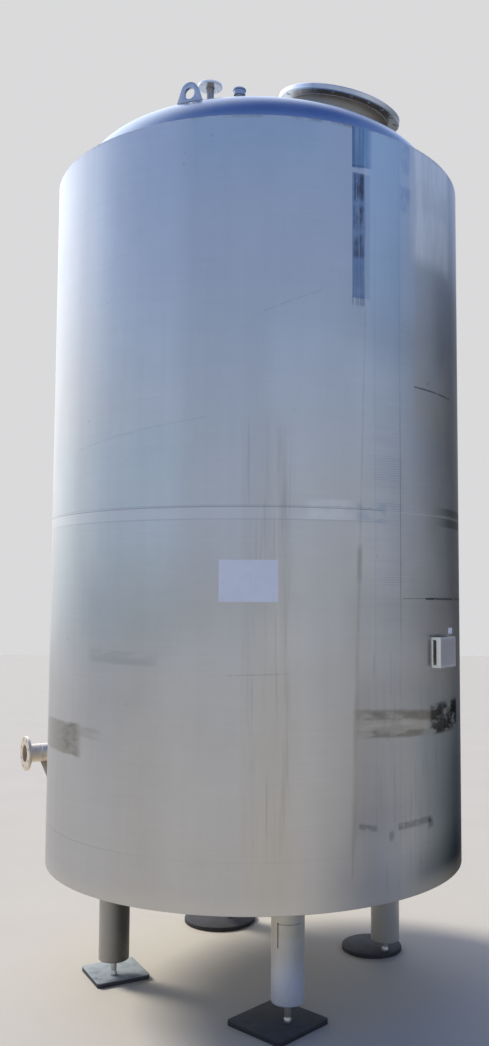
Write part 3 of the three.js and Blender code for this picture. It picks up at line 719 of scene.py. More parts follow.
def smudges(s, rain):
    """Grey-brown rubbed patches, drawn out sideways."""
    smear = s.noise(3.5, 15.0, 3.0, 4.2, 0.55)
    clump = s.noise(7.0, 18.0, offset=11.3)
    z = s.z + (s.noise(2.0, 5.0, offset=1.3) - 0.5) * 0.06
    left = s.patch((-78, -51, 4), (1.400, 1.555, 0.016), z)
    s.tint((0.27, 0.26, 0.235), left * s.azimuth.ramp(-82.0, -62.0) * 0.68)
    s.tint((0.14, 0.13, 0.12), left * s.azimuth.ramp(-63.0, -53.0) * clump.ramp(0.40, 0.62) * 0.50)
    tail = s.patch((-50, -42, 3), (1.510, 1.545, 0.02), z)
    s.tint((0.30, 0.29, 0.27), tail * smear.ramp(0.30, 0.60) * 0.40)

    right = s.azimuth.within(24.5, 66.0, 1.5)
    sloped = z + (s.azimuth - 24.0) * 0.0012
    s.tint((0.33, 0.31, 0.27), right * sloped.within(1.555, 1.675, 0.02) * smear.ramp(0.25, 0.60) * 0.50)
    s.tint((0.17, 0.16, 0.13), right * sloped.within(1.640, 1.668, 0.026) * clump.ramp(0.30, 0.60) * 0.62)
    s.tint((0.16, 0.15, 0.12), right * sloped.within(1.556, 1.580, 0.016) * clump.ramp(0.40, 0.62) * 0.55)
    pale = s.patch((27, 46, 4), (1.595, 1.630, 0.015), sloped)
    s.tint((0.56, 0.54, 0.48), pale * smear.ramp(0.65, 0.40) * 0.45)
    heavy = s.patch((50, 66, 2), (1.53, 1.66, 0.03), z)
    s.tint((0.05, 0.05, 0.05), heavy * clump.ramp(0.38, 0.56) * 0.80)
    runs = s.noise(45.0, 1.6, 4.0, 14.2)
    s.tint((0.22, 0.21, 0.24), s.patch((30, 60, 6), (0.80, 1.90, 0.10)) * runs.ramp(0.55, 0.72) * 0.35)

    column = s.patch((-1.5, 6.5, 2.5), (1.1, 3.0, 0.25))
    s.tint((0.30, 0.26, 0.20), column * rain.ramp(0.42, 0.70) * 0.26)
    s.tint((0.20, 0.19, 0.18), column * runs.ramp(0.52, 0.70) * 0.22)
    rubbed = s.patch((-43, -25, 3), (1.905, 1.965, 0.015), z)
    s.tint((0.26, 0.27, 0.29), rubbed * smear.ramp(0.35, 0.60) * 0.28)
    s.tint((0.20, 0.21, 0.24), s.noise(22.0, 22.0, 2.0, 12.0, 0.5).ramp(0.76, 0.79) * 0.30)


def scratches(s):
    marks = s.z * 0
    for first, last, width, depth in (
        ((43.0, 3.386), (61.8, 3.385), 0.007, 0.70),
        ((-50.8, 3.045), (-12.2, 3.154), 0.007, 0.09),
        ((1.7, 3.701), (15.0, 3.822), 0.007, 0.11),
        ((38.5, 2.242), (52.0, 2.240), 0.004, 0.40),
        ((47.5, 2.240), (76.0, 2.236), 0.009, 0.70),
        ((25.0, 1.100), (29.5, 1.080), 0.022, 0.38),
        ((36.5, 1.070), (48.5, 1.072), 0.026, 0.40),
        ((48.0, 1.050), (49.5, 1.050), 0.040, 0.45),
        ((33.7, 1.030), (34.5, 1.030), 0.035, 0.35),
        ((-6.0, 1.860), (7.0, 1.868), 0.005, 0.18),
    ):
        marks = marks + scratch(s, first, last, width) * depth
    s.tint(DARK, marks * s.noise(26.0, 26.0, 4.0, 4.2, 0.7).ramp(0.30, 0.50))


def roof_material():
    s = Surface("roof_smooth_steel", 1.0, 0.30, (0.42, 0.48, 0.53))
    cloud = s.noise(3.0, detail=4.0)
    fine = s.noise(70.0, offset=2.0)
    s.shade_by(cloud * 0.16 + fine * 0.05 + 0.90)
    s.roughen((cloud - 0.5) * 0.18 + (fine - 0.5) * 0.08)
    s.tint(DUST, s.noise(5.0, 5.0, 5.0, 6.0, 0.7).ramp(0.55, 0.80) * 0.22)
    s.raise_by(fine * 0.0001 + cloud * 0.002)
    return s.done()


def inside_material():
    s = Surface("vessel_inside_steel", 0.9, 0.40, (0.56, 0.56, 0.55))
    brush = s.noise(3.0, 180.0)
    s.shade_by(brush * 0.08 + s.noise(2.0, detail=4.0) * 0.18 + 0.87)
    s.roughen((brush - 0.5) * 0.2)
    s.raise_by(brush * 0.0001)
    return s.done()


def fitting_surface(name, color, roughness, dirt):
    s = Surface(name, 0.92, roughness, color)
    cloud = s.noise(12.0, detail=4.0)
    fine = s.noise(160.0, offset=2.0)
    s.shade_by(cloud * 0.20 + fine * 0.08 + 0.86)
    s.roughen((cloud - 0.5) * 0.22 + (fine - 0.5) * 0.10)
    s.tint((0.22, 0.18, 0.13), s.noise(18.0, 18.0, 5.0, 6.0, 0.7).ramp(0.50, 0.78) * dirt)
    s.raise_by(fine * 0.0001)
    return s


def fitting_material(name, color, roughness, dirt):
    return fitting_surface(name, color, roughness, dirt).done()


def manhole_material(centre, normal):
    """A machined flange with painted shade on its underside and a painted highlight at its left end."""
    s = fitting_surface("manhole_flange_steel", (0.54, 0.55, 0.57), 0.36, 0.30)
    depth = s.x * normal.x + s.y * normal.y + s.z * normal.z - normal.dot(centre)
    side = s.x - centre.x
    underside = MANHOLE["thickness"]
    # Painted shade: the underside darker, except at the left end.
    painted_underside_shade = depth.ramp(0.0015 - underside, 0.0005 - underside) * side.ramp(-0.22, -0.12)
    s.tint((0.15, 0.13, 0.11), painted_underside_shade * 0.85)
    # Painted highlight: the left end near white, as a sun glint on it.
    s.tint((1.0, 0.98, 0.93), side.ramp(-0.17, -0.26) * 0.95)
    s.tint((0.85, 0.84, 0.80), side.ramp(0.02, 0.14) * depth.ramp(-0.030, -0.028) * 0.60)
    return s.done()


def weld_material():
    s = Surface("weld_bead_steel", 0.85, 0.48, (0.44, 0.42, 0.40))
    heat = s.noise(40.0)
    s.tint((0.42, 0.30, 0.16), heat.ramp(0.50, 0.75) * 0.40)
    s.tint((0.20, 0.22, 0.30), s.noise(55.0, offset=5.0).ramp(0.55, 0.75) * 0.45)
    s.roughen((heat - 0.5) * 0.3)
    return s.done()


def leg_material():
    """Weathered steel with painted shade, darker away from the sun, and painted light low on the front leg:
    each leg is told by where it stands.
    """
    s = Surface("leg_weathered_and_shaded_steel", 0.75, 0.50, (0.58, 0.56, 0.52))
    cloud = s.noise(9.0, 6.0, 4.0)
    rain = s.noise(60.0, 3.0, offset=3.0)
    fine = s.noise(120.0, offset=2.0)
    s.shade_by(cloud * 0.20 + rain * 0.14 + fine * 0.05 + 0.80)
    left = s.x.ramp(-0.70, -0.72)
    front = s.y.ramp(-0.5, -0.7)
    # Painted shade: the left leg darker, and darker still from its sunlit left side to its right; the right
    # leg darker as in the tank's shadow.
    s.darken(left * 0.28)
    s.darken(left * s.x.ramp(-0.905, -0.765) * 0.72)
    s.darken(s.x.ramp(0.70, 0.72) * 0.16)
    s.tint((0.50, 0.46, 0.32), s.z.within(0.50, 0.60, 0.04) * cloud.ramp(0.40, 0.60) * 0.45)
    # Painted shade: darker at the top, just under the jacket.
    s.tint((0.10, 0.09, 0.08), s.z.ramp(0.60, 0.68) * 0.45)
    # Painted reflection: the front leg lighter and bluer low down.
    s.tint((0.74, 0.80, 0.92), s.z.ramp(0.44, 0.20) * front * 0.75)
    drip = s.x.within(0.121, 0.126, 0.002) * s.z.within(0.43, 0.55, 0.01)
    seam = s.x.within(0.120, 0.240, 0.004) * s.z.within(0.547, 0.551, 0.002) * front
    s.tint((0.08, 0.05, 0.03), drip * 0.75 + seam * 0.45)
    s.tint(DUST, s.z.ramp(0.36, 0.15) * cloud.ramp(0.35, 0.65) * 0.25)
    s.tint(RUST, rain.ramp(0.58, 0.76) * s.z.ramp(0.40, 0.70) * 0.55)
    s.roughen((fine - 0.5) * 0.15 + (cloud - 0.5) * 0.2)
    s.raise_by(fine * 0.0001)
    return s.done()


def rubber_material(name, color, dust):
    s = Surface(name, 0.0, 0.88, color)
    grit = s.noise(140.0, 140.0, 4.0, rough=0.7)
    cloud = s.noise(14.0, 14.0, 4.0, 4.0, 0.65)
    s.shade_by(grit * 0.7 + cloud * 0.5 + 0.4)
    top = s.z.ramp(PAD - 0.008, PAD - 0.0005)
    s.tint((0.27, 0.29, 0.29), top * cloud.ramp(0.05, 0.60) * dust)
    s.tint((0.20, 0.17, 0.15), grit.ramp(0.55, 0.75) * 0.35)
    s.raise_by(grit * 0.0012)
    return s.done()


def plate_surface(name, color, metallic):
    s = Surface(name, metallic, 0.48, color)
    brush = s.noise(20.0, 400.0)
    s.shade_by(brush * 0.10 + s.noise(30.0, 30.0, 4.0, 2.0) * 0.14 + 0.88)
    s.tint((0.28, 0.24, 0.18), s.noise(45.0, 20.0, 4.0, 7.0, 0.7).ramp(0.55, 0.80) * 0.45)
    s.roughen((brush - 0.5) * 0.2)
    return s


def bracket_material():
    """Cream steel with a greyer front."""
    s = plate_surface("bracket_cream_steel", (1.0, 0.93, 0.76), 0.10)
    out = outward(BRACKET["azimuth"])
    reach = s.x * out.x + s.y * out.y
    s.tint((0.36, 0.36, 0.36), reach.ramp(BRACKET_FRONT - 0.0025, BRACKET_FRONT - 0.0010) * 0.85)
    return s.done()


def sign_material():
    s = Surface("sign_sheet_matte", 0.0, 0.55, (0.66, 0.68, 0.74))
    cloud = s.noise(18.0, detail=4.0)
    s.shade_by(cloud * 0.16 + 0.92)
    s.tint((0.40, 0.40, 0.38), s.noise(50.0, 9.0, 4.0, 3.0, 0.7).ramp(0.58, 0.80) * 0.25)
    s.raise_by(cloud * 0.0006)
    return s.done()


def floor_material():
    s = Surface("floor_pale_concrete", 0.0, 0.9, (0.435, 0.392, 0.325))
    s.shade_by(s.noise(1.5, detail=5.0) * 0.10 + s.noise(60.0, offset=3.0) * 0.05 + 0.925)
    return s.done()


JACKET = jacket_material()
ROOF = roof_material()
INSIDE = inside_material()
RING = fitting_material("flange_machined_steel", (1.0, 0.93, 0.82), 0.38, 0.25)
PIPE = fitting_material("pipe_satin_steel", (0.62, 0.60, 0.56), 0.40, 0.40)
# Stained steel, much darker than the other pipes as painted shade under the manhole flange.
NECK = fitting_material("neck_stained_and_shaded_steel", (0.33, 0.30, 0.26), 0.42, 0.60)
STEM = fitting_material("stem_stained_steel", (0.34, 0.32, 0.30), 0.42, 0.40)
NOZZLE_STEEL = fitting_material("nozzle_weathered_steel", (0.80, 0.70, 0.56), 0.42, 0.40)
# Painted shade: the gusset's steel is far darker than the nozzle's, as it stands in shade under the pipe.
GUSSET_STEEL = fitting_material("gusset_weathered_and_shaded_steel", (0.40, 0.36, 0.31), 0.45, 0.40)
CAP_STEEL = fitting_material("cap_forged_steel", (0.36, 0.40, 0.47), 0.40, 0.25)
LUG_STEEL = fitting_material("lug_plate_steel", (0.52, 0.54, 0.58), 0.42, 0.25)
WELD = weld_material()
LEG = leg_material()
RUBBER = rubber_material("pad_rubber_dark", (0.030, 0.026, 0.027), 0.10)
PALE_RUBBER = rubber_material("pad_rubber_dusty", (0.040, 0.040, 0.042), 0.95)
CREAM = bracket_material()
ETCHED = plate_surface("name_plate_steel", (0.40, 0.40, 0.41), 0.70).done()
PAPER = sign_material()


# Jacket and vessel

def nodes_of(prefix):
    return sorted(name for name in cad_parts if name.startswith(prefix))


def jacket_profile():
    inner = JACKET_RADIUS - JACKET_SHEET
    rings = int((JACKET_HIGH - JACKET_LOW) / RING_SPACING)
    outside = [(JACKET_RADIUS - RIM_ROUND, JACKET_LOW), (JACKET_RADIUS, JACKET_LOW + RIM_ROUND)]
    outside += [(JACKET_RADIUS, JACKET_LOW + RING_SPACING * i) for i in range(1, rings)]
    outside += [(JACKET_RADIUS, JACKET_HIGH - RIM_ROUND), (JACKET_RADIUS - RIM_ROUND, JACKET_HIGH)]
    return outside + [(inner, JACKET_HIGH), (inner, JACKET_LOW)]


jacket_nodes = nodes_of("jacket_lower_") + nodes_of("jacket_upper_")
turned("jacket_skin", jacket_profile(), JACKET_SIDES, AROUND, JACKET, "jacket_steel", jacket_nodes)

shoulder_outer = JACKET_RADIUS - JACKET_SHEET - SEAT
shoulder_inner = VESSEL_RADIUS + SEAT
shoulder = [
    (shoulder_outer, JACKET_HIGH - PLATE), (shoulder_outer, JACKET_HIGH),
    (shoulder_inner, JACKET_HIGH + SHOULDER_RISE), (shoulder_inner, JACKET_HIGH - PLATE + SHOULDER_RISE),
]
turned("shoulder_ring_skin", shoulder, VESSEL_SIDES, AROUND, ROOF, "jacket_steel", ["jacket_shoulder_ring"])


def ring_points(radius, height, count):
    return [spot(360 * i / count, radius, height) for i in range(count)]


shoulder_root = ring_points(VESSEL_RADIUS + 0.004, JACKET_HIGH + SHOULDER_RISE, 720)
weld("shoulder_inner_weld", shoulder_root, "shoulder_inner")
shoulder_rim = ring_points(JACKET_RADIUS - 0.0035, JACKET_HIGH, 720)
weld("shoulder_outer_weld", shoulder_rim, "shoulder_outer", sides=6)

roof_outline = dished_end(ROOF_KNUCKLE, ROOF_CROWN, ROOF_WELD_RISE)
roof_profile = [(radius, z + ROOF_TANGENT) for radius, z in roof_outline]
roof = bare_object("roof_skin", moved(revolve(roof_profile, VESSEL_SIDES), AROUND))

manhole_out = outward(MANHOLE["azimuth"])
tilt = math.radians(MANHOLE["tilt"])
manhole_normal = manhole_out * math.sin(tilt) + UP * math.cos(tilt)
manhole_down = manhole_out * math.cos(tilt) - UP * math.sin(tilt)
manhole_face = spot(MANHOLE["azimuth"], MANHOLE["radius"], ROOF_TANGENT + MANHOLE["rise"])
MANHOLE_PLACE = basis(manhole_face, manhole_down, manhole_normal.cross(manhole_down), manhole_normal)

carve(roof, moved(prism(circle(MANHOLE["neck"] + SEAT, 96), -0.5, 0.1), MANHOLE_PLACE))
for fitting in (VENT, SOCKET):
    place = Matrix.Translation(spot(fitting["azimuth"], fitting["radius"]))
    top = roof_height(fitting["radius"])
    carve(roof, moved(prism(circle(fitting["neck"] + SEAT, 32), top - 0.1, top + 0.1), place))
roof_nodes = nodes_of("roof_knuckle_") + nodes_of("roof_crown_") + ["roof_manhole_ring"]
finish_piece(roof, ROOF, "roof_steel", roof_nodes)

wall_inner = VESSEL_RADIUS - VESSEL_WALL
vessel_low = BOTTOM_TANGENT + SEAT
vessel_high = ROOF_TANGENT + ROOF_WELD_RISE - SEAT
vessel_wall = [
    (VESSEL_RADIUS, vessel_low), (VESSEL_RADIUS, vessel_high),
    (wall_inner, vessel_high), (wall_inner, vessel_low),
]
wall_nodes = nodes_of("vessel_wall_")
turned("vessel_wall_skin", vessel_wall, VESSEL_SIDES, AROUND, INSIDE, "vessel_steel", wall_nodes)
bottom_outline = dished_end(BOTTOM_KNUCKLE, BOTTOM_CROWN, 0.0)
bottom = [(radius, BOTTOM_TANGENT - z) for radius, z in bottom_outline]
turned("vessel_bottom_skin", bottom, VESSEL_SIDES, AROUND, INSIDE, "vessel_steel", ["vessel_bottom"])
for height in (vessel_low, vessel_high):
    inside_seam = ring_points(wall_inner - 0.0005, height, 480)
    weld(f"vessel_weld_{int(height * 1000)}", inside_seam, "vessel", pitch=0.05, sides=6)


# Manhole, vent and socket

def tube_profile(spec, low, high):
    outer = spec["neck"]
    chamfer = 0.0008
    inner = outer - spec["wall"]
    return [
        (outer, low), (outer, high - chamfer), (outer - chamfer, high),
        (inner + chamfer, high), (inner, high - chamfer), (inner, low),
    ]


def roof_weld_points(place, radius, count):
    """Where a round neck meets the roof."""
    points = []
    for x, y in circle(radius, count):
        high = 0.0
        low = -SEARCH_DEPTH
        for _ in range(HALVINGS):
            middle = (high + low) / 2
            if above_roof(place @ Vector((x, y, middle))) > 0:
                high = middle
            else:
                low = middle
        points.append(place @ Vector((x, y, low)))
    return points


def roof_place(spec):
    """The middle of an upright fitting's face over the roof."""
    height = roof_height(spec["radius"]) + spec["rise"]
    return Matrix.Translation(spot(spec["azimuth"], spec["radius"], height))


def roof_stub(name, spec, place, top, node):
    """An upright pipe that ends a little below the roof's inside."""
    profile = tube_profile(spec, -spec["rise"] - HEAD_THICKNESS - STUB_INSIDE, top)
    turned(name, profile, STUB_SIDES, place, STEM, "fitting_steel", [node])


def flange_weld(name, spec, place, gap, count, kind):
    """The weld where a neck leaves the back of its flange."""
    weld(name, circle_on(place, spec["neck"] + gap, count, -spec["thickness"]), kind)


neck = tube_profile(MANHOLE, -MANHOLE["length"] - FACE_RECESS, -FACE_RECESS)
turned("manhole_neck_tube", neck, MANHOLE["sides"], MANHOLE_PLACE, NECK, "fitting_steel", ["manhole_neck"])
MANHOLE_RING = manhole_material(manhole_face - AXIS, manhole_normal)
drilled_flange("manhole_flange_ring", MANHOLE, MANHOLE_PLACE, MANHOLE_RING, nodes_of("manhole_flange_"))
manhole_root = roof_weld_points(MANHOLE_PLACE, MANHOLE["neck"] + 0.002, 360)
weld("manhole_roof_weld", manhole_root, "manhole_roof")
flange_weld("manhole_flange_weld", MANHOLE, MANHOLE_PLACE, 0.002, 360, "manhole_flange")

VENT_PLACE = roof_place(VENT)
roof_stub("vent_stub", VENT, VENT_PLACE, -FACE_RECESS, "vent_pipe")
drilled_flange("vent_flange_ring", VENT, VENT_PLACE, RING, ["vent_flange"])
weld("vent_roof_weld", roof_weld_points(VENT_PLACE, VENT["neck"] + 0.001, 72), "stub_roof")
flange_weld("vent_flange_weld", VENT, VENT_PLACE, 0.001, 72, "vent_flange")

SOCKET_PLACE = roof_place(SOCKET)
roof_stub("socket_tube", SOCKET, SOCKET_PLACE, 0.0, "roof_socket")
weld("socket_roof_weld", roof_weld_points(SOCKET_PLACE, SOCKET["neck"] + 0.001, 90), "stub_roof")
cap_low = CAP["top"] - CAP["height"]
cap_lip = CAP["top"] - CAP["lip_height"]
cap_bore = SOCKET["neck"] + SEAT
cap = [
    (0, SEAT), (cap_bore, SEAT), (cap_bore, cap_low), (CAP["body"], cap_low),
    (CAP["body"], cap_lip), (CAP["lip"], cap_lip + 0.002), (CAP["lip"], CAP["top"] - 0.003),
    (CAP["lip"] - 0.003, CAP["top"]), (0, CAP["top"]),
]
turned("socket_cap_turned", cap, 64, SOCKET_PLACE, CAP_STEEL, "fitting_steel", ["roof_socket_cap"])


# Lifting lugs

def arc(radius, centre, start, turn, steps):
    """Points on part of a circle round a height on the Y axis."""
    angles = [start + turn * i / steps for i in range(steps + 1)]
    return [(radius * math.cos(angle), centre + radius * math.sin(angle)) for angle in angles]


def lug_outline():
    half = LUG["foot"] / 2
    flank = math.radians(LUG["flank"])
    crown = arc(LUG["round"], LUG["height"] - LUG["round"], flank, math.pi - 2 * flank, 24)
    return [(-half, -LUG["sunk"]), (half, -LUG["sunk"]), (half, 0.0), *crown, (-half, 0.0)]


def eye_outline():
    radius = LUG["hole_width"] / 2
    straight = LUG["hole_height"] / 2 - radius
    top = arc(radius, LUG["hole_rise"] + straight, 0.0, math.pi, 16)
    return top + arc(radius, LUG["hole_rise"] - straight, math.pi, math.pi, 16)


for side, azimuth in zip(("front", "rear"), LUG["azimuths"]):
    out = outward(azimuth)
    across = UP.cross(out) * -1
    foot = spot(azimuth, LUG["radius"], roof_height(LUG["radius"]))
    half = LUG["thickness"] / 2
    look = (LUG_STEEL, "fitting_steel", [f"lifting_lug_{side}"])
    eye = prism(eye_outline(), -2 * half, 2 * half)
    place = basis(foot, across, UP, across.cross(UP))
    lug = prism(lug_outline(), -half, half)
    make(f"lug_{side}_plate", lug, *look, cut=eye, rounding=LUG["edge"], place=place)
    for face, offset in (("outer", half), ("inner", -half)):
        points = [foot + across * (LUG["foot"] * (i / 60 - 0.5)) + out * offset for i in range(61)]
        for point in points:
            point.z -= above_roof(point)
        weld(f"lug_{side}_{face}_weld", points, "lug", closed=False)


# Side nozzle

nozzle_out = outward(NOZZLE["azimuth"])
nozzle_turn = math.radians(NOZZLE["bend"])
nozzle_side = UP.cross(nozzle_out)
nozzle_end = nozzle_out * math.cos(nozzle_turn) + nozzle_side * math.sin(nozzle_turn)
elbow_start = spot(NOZZLE["azimuth"], NOZZLE["stub"], NOZZLE["height"])
elbow_centre = elbow_start + nozzle_side * NOZZLE["bend_radius"]


def weld_rings(centre, direction, radius):
    """Five stations that swell into a low weld bead."""
    swells = ((-0.005, 0.0), (-0.003, 0.0014), (0.0, 0.0019), (0.003, 0.0014), (0.005, 0.0))
    return [(centre + direction * step, direction, radius + swell) for step, swell in swells]


def nozzle_stations(radius, welds):
    """The nozzle's centre line from the vessel to behind the flange face, with swollen welds."""
    first = spot(NOZZLE["azimuth"], VESSEL_RADIUS - VESSEL_WALL - STUB_INSIDE, NOZZLE["height"])
    length = (elbow_start - first).length - 0.006
    stations = [(first, nozzle_out, radius), (first + nozzle_out * length, nozzle_out, radius)]
    if welds:
        stations += weld_rings(elbow_start, nozzle_out, radius)
    for i in range(17):
        angle = nozzle_turn * i / 16
        direction = nozzle_out * math.cos(angle) + nozzle_side * math.sin(angle)
        out = nozzle_out * math.sin(angle) - nozzle_side * math.cos(angle)
        stations.append((elbow_centre + out * NOZZLE["bend_radius"], direction, radius))
    end = stations[-1][0]
    if welds:
        stations += weld_rings(end + nozzle_end * 0.006, nozzle_end, radius)
    for reach in (0.012, NOZZLE["straight"] - FACE_RECESS):
        stations.append((end + nozzle_end * reach, nozzle_end, radius))
    return stations


pipe_outer = nozzle_stations(NOZZLE["neck"], True)
pipe_inner = nozzle_stations(NOZZLE["neck"] - NOZZLE["wall"], False)
pipe = loft([ring(*station, 64) for station in pipe_outer + pipe_inner[::-1]])
pipe_nodes = ["side_nozzle_stub", "side_nozzle_elbow", "side_nozzle_end"]
make("side_nozzle_bent_pipe", pipe, NOZZLE_STEEL, "fitting_steel", pipe_nodes, 40)
nozzle_face = pipe_outer[-1][0] + nozzle_end * FACE_RECESS
NOZZLE_PLACE = basis(nozzle_face, nozzle_end.cross(UP) * -1, UP, nozzle_end)
drilled_flange("side_nozzle_flange_ring", NOZZLE, NOZZLE_PLACE, NOZZLE_STEEL, ["side_nozzle_flange"])
flange_weld("side_nozzle_flange_weld", NOZZLE, NOZZLE_PLACE, 0.0015, 180, "nozzle_flange")

root = []
for across, rise in circle(NOZZLE["neck"] + 0.001, 180):
    reach = math.sqrt(JACKET_RADIUS ** 2 - across ** 2)
    root.append(AXIS + nozzle_out * reach + nozzle_side * across + UP * (rise + NOZZLE["height"]))
weld("side_nozzle_root_weld", root, "nozzle_root")

GUSSET_PLACE = basis(spot(NOZZLE["azimuth"], 0, NOZZLE["height"]), nozzle_out, UP, nozzle_out.cross(UP))
gusset_top = -NOZZLE["neck"] - SEAT
gusset_low = gusset_top - NOZZLE["drop"]
gusset_inner = JACKET_RADIUS + SEAT
gusset_half = NOZZLE["gusset"] / 2
gusset = [
    (gusset_inner, gusset_top), (gusset_inner, gusset_low),
    (gusset_inner + NOZZLE["toe"], gusset_low), (gusset_inner + NOZZLE["reach"], gusset_top),
]
plate = prism(gusset, -gusset_half, gusset_half)
look = (GUSSET_STEEL, "fitting_steel", ["side_nozzle_gusset"])
make("side_nozzle_gusset_plate", plate, *look, rounding=NOZZLE["edge"], place=GUSSET_PLACE)
for side, offset in (("front", 1), ("rear", -1)):
    z = offset * (gusset_half + 0.001)
    heights = [gusset_top - NOZZLE["drop"] * i / 48 for i in range(49)]
    line = [GUSSET_PLACE @ Vector((JACKET_RADIUS + 0.001, height, z)) for height in heights]
    weld(f"side_nozzle_gusset_{side}_weld", line, "gusset", closed=False)


# Legs, spindles and pads

def leg_profile(end):
    """A tube whose lower end is closed by a plate with a rounded rim and a bore."""
    inner = LEG_RADIUS - LEG_WALL
    bore = SPINDLE_RADIUS + SPINDLE_GAP
    corner = [(LEG_RADIUS - inset, end + rise) for inset, rise in LEG_CORNER]
    top = [(LEG_RADIUS, LEG_TOP), (inner, LEG_TOP)]
    return [(bore, end), *corner, *top, (inner, end + LEG_END), (bore, end + LEG_END)]


def spindle_profile():
    """A rod that stands on its pad with a turned shoulder."""
    r = SPINDLE_RADIUS
    return [
        (0, PAD), (r + 0.002, PAD), (r + 0.003, PAD + 0.004), (r + 0.003, PAD + 0.016),
        (r - 0.001, PAD + 0.024), (r - 0.0015, PAD + 0.030), (r, PAD + 0.036),
        (r, SPINDLE_TOP - 0.002), (r - 0.002, SPINDLE_TOP), (0, SPINDLE_TOP),
    ]


def pad_shape(leg):
    """A round pad, or a square one with its corners cut."""
    if "round" in leg:
        r = leg["round"]
        profile = [
            (0, 0), (r - 0.004, 0), (r, 0.004), (r, PAD - 0.006), (r - 0.002, PAD - 0.002),
            (r - 0.006, PAD), (0, PAD),
        ]
        return revolve(profile, 96)
    h = leg["side"] / 2
    cut = h - PAD_CORNER
    outline = [(cut, -h), (h, -cut), (h, cut), (cut, h), (-cut, h), (-h, cut), (-h, -cut), (-cut, -h)]
    return prism(outline, 0, PAD)


for name, leg in LEGS.items():
    stand = spot(leg["azimuth"], LEG_CIRCLE)
    place = Matrix.Translation(stand)
    tube = moved(revolve(leg_profile(leg["end"]), 72), place)
    hole = None
    if name == LEG_HOLE["leg"]:
        front_of_leg = basis(stand + Vector(LEG_HOLE["place"]), Vector((1, 0, 0)), UP, Vector((0, -1, 0)))
        hole = moved(prism(circle(LEG_HOLE["radius"], 24), -0.03, 0.08), front_of_leg)
    make(f"leg_{name}_tube", tube, LEG, "leg_steel", [f"leg_{name}"], cut=hole)
    weld(f"leg_{name}_weld", circle_on(place, LEG_RADIUS + 0.001, 240, JACKET_LOW), "leg")
    turned(f"spindle_{name}_turned", spindle_profile(), 40, place, PIPE, "leg_steel", [f"spindle_{name}"])
    turn = Matrix.Rotation(math.radians(leg.get("turn", 0)), 4, "Z")
    askew = Matrix.Translation(stand + Vector((*leg["shift"], 0))) @ turn
    look = (PALE_RUBBER if name == "left" else RUBBER, "pad_rubber", [f"pad_{name}"])
    rounding = PAD_EDGE if "side" in leg else None
    make(f"pad_{name}_rubber", pad_shape(leg), *look, rounding=rounding, place=askew)

bottom_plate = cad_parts["jacket_bottom_plate"]
bottom_plate.data.materials.clear()
bottom_plate.data.materials.append(INSIDE)


# Bracket, plates and sign

BRACKET_OUT = outward(BRACKET["azimuth"])
BRACKET_PLACE = basis(spot(BRACKET["azimuth"], 0, BRACKET["centre"]), BRACKET_OUT, UP.cross(BRACKET_OUT), UP)


def box_shape(low, high, half_width, half_height):
    """A box between two reaches from the bracket's origin."""
    outline = [(low, -half_width), (high, -half_width), (high, half_width), (low, half_width)]
    return prism(outline, -half_height, half_height)


def bracket_shape():
    """A folded sheet whose sides reach back to the jacket."""
    half = BRACKET["width"] / 2
    front = BRACKET_FRONT
    back = math.sqrt(JACKET_RADIUS ** 2 - half ** 2)
    s = BRACKET["sheet"]
    fold = BRACKET["fold"]
    bend = fold * 0.3
    outline = [
        (back, -half), (front - fold, -half), (front - bend, bend - half), (front, fold - half),
        (front, half - fold), (front - bend, half - bend), (front - fold, half), (back, half),
        (back, half - s), (front - s, half - s), (front - s, s - half), (back, s - half),
    ]
    return prism(outline, -BRACKET["height"] / 2, BRACKET["height"] / 2)


slot_low = JACKET_RADIUS + BRACKET["slot_edge"]
slot = box_shape(slot_low, slot_low + BRACKET["slot_width"], 1, BRACKET["slot_height"] / 2)
look = (CREAM, "plate_steel", ["name_plate_bracket"])
make("name_plate_bracket_folded", bracket_shape(), *look, cut=slot, place=BRACKET_PLACE)

plate_back = BRACKET_FRONT + SEAT
plate_face = plate_back + NAME_PLATE["thickness"]
sheet = box_shape(plate_back, plate_face, NAME_PLATE["width"] / 2, NAME_PLATE["height"] / 2)
make("name_plate_sheet", moved(sheet, BRACKET_PLACE), ETCHED, "plate_steel", ["name_plate"])
rivets = []
for across, up in RIVET_PLACES:
    turn = Matrix.Translation((plate_face, across, up)) @ Matrix.Rotation(math.pi / 2, 4, "Y")
    rivets.append(moved(revolve(RIVET_HEAD, 20), BRACKET_PLACE @ turn))
make("name_plate_rivets", joined(*rivets), PIPE)


def curved_sheet(spec, columns):
    """A thin sheet that follows the jacket."""
    radius = JACKET_RADIUS + SEAT
    width = math.degrees(spec["width"] / radius)
    outline = []
    for reach, order in ((radius + spec["thickness"], 1), (radius, -1)):
        for i in range(columns + 1)[::order]:
            outline.append(spot(spec["azimuth"] + width * (i / columns - 0.5), reach).xy)
    low = spec["centre"] - spec["height"] / 2
    return prism(outline, low, low + spec["height"])


make("sign_sheet_curved", curved_sheet(SIGN, 24), PAPER, "sign_plastic", ["sign_sheet"])
make("label_small", curved_sheet(LABEL, 8), PAPER)


# Floor, light and camera

floor = bare_object("floor", ([(-30, -30, 0), (30, -30, 0), (30, 30, 0), (-30, 30, 0)], [[0, 1, 2, 3]]))
floor.data.materials.append(floor_material())

BACKDROP = (0.70, 0.70, 0.71)
SKY = (
    (0.0, (0.26, 0.36, 0.51)), (0.07, (0.87, 0.87, 0.88)), (0.20, (0.43, 0.565, 0.74)),
    (0.40, (0.385, 0.555, 0.97)), (0.90, (0.06, 0.13, 0.44)),
)
GLOW_FROM = (-0.405, 0.786, 0.467)
DIM_FROM = (0.349, 0.935, -0.057)


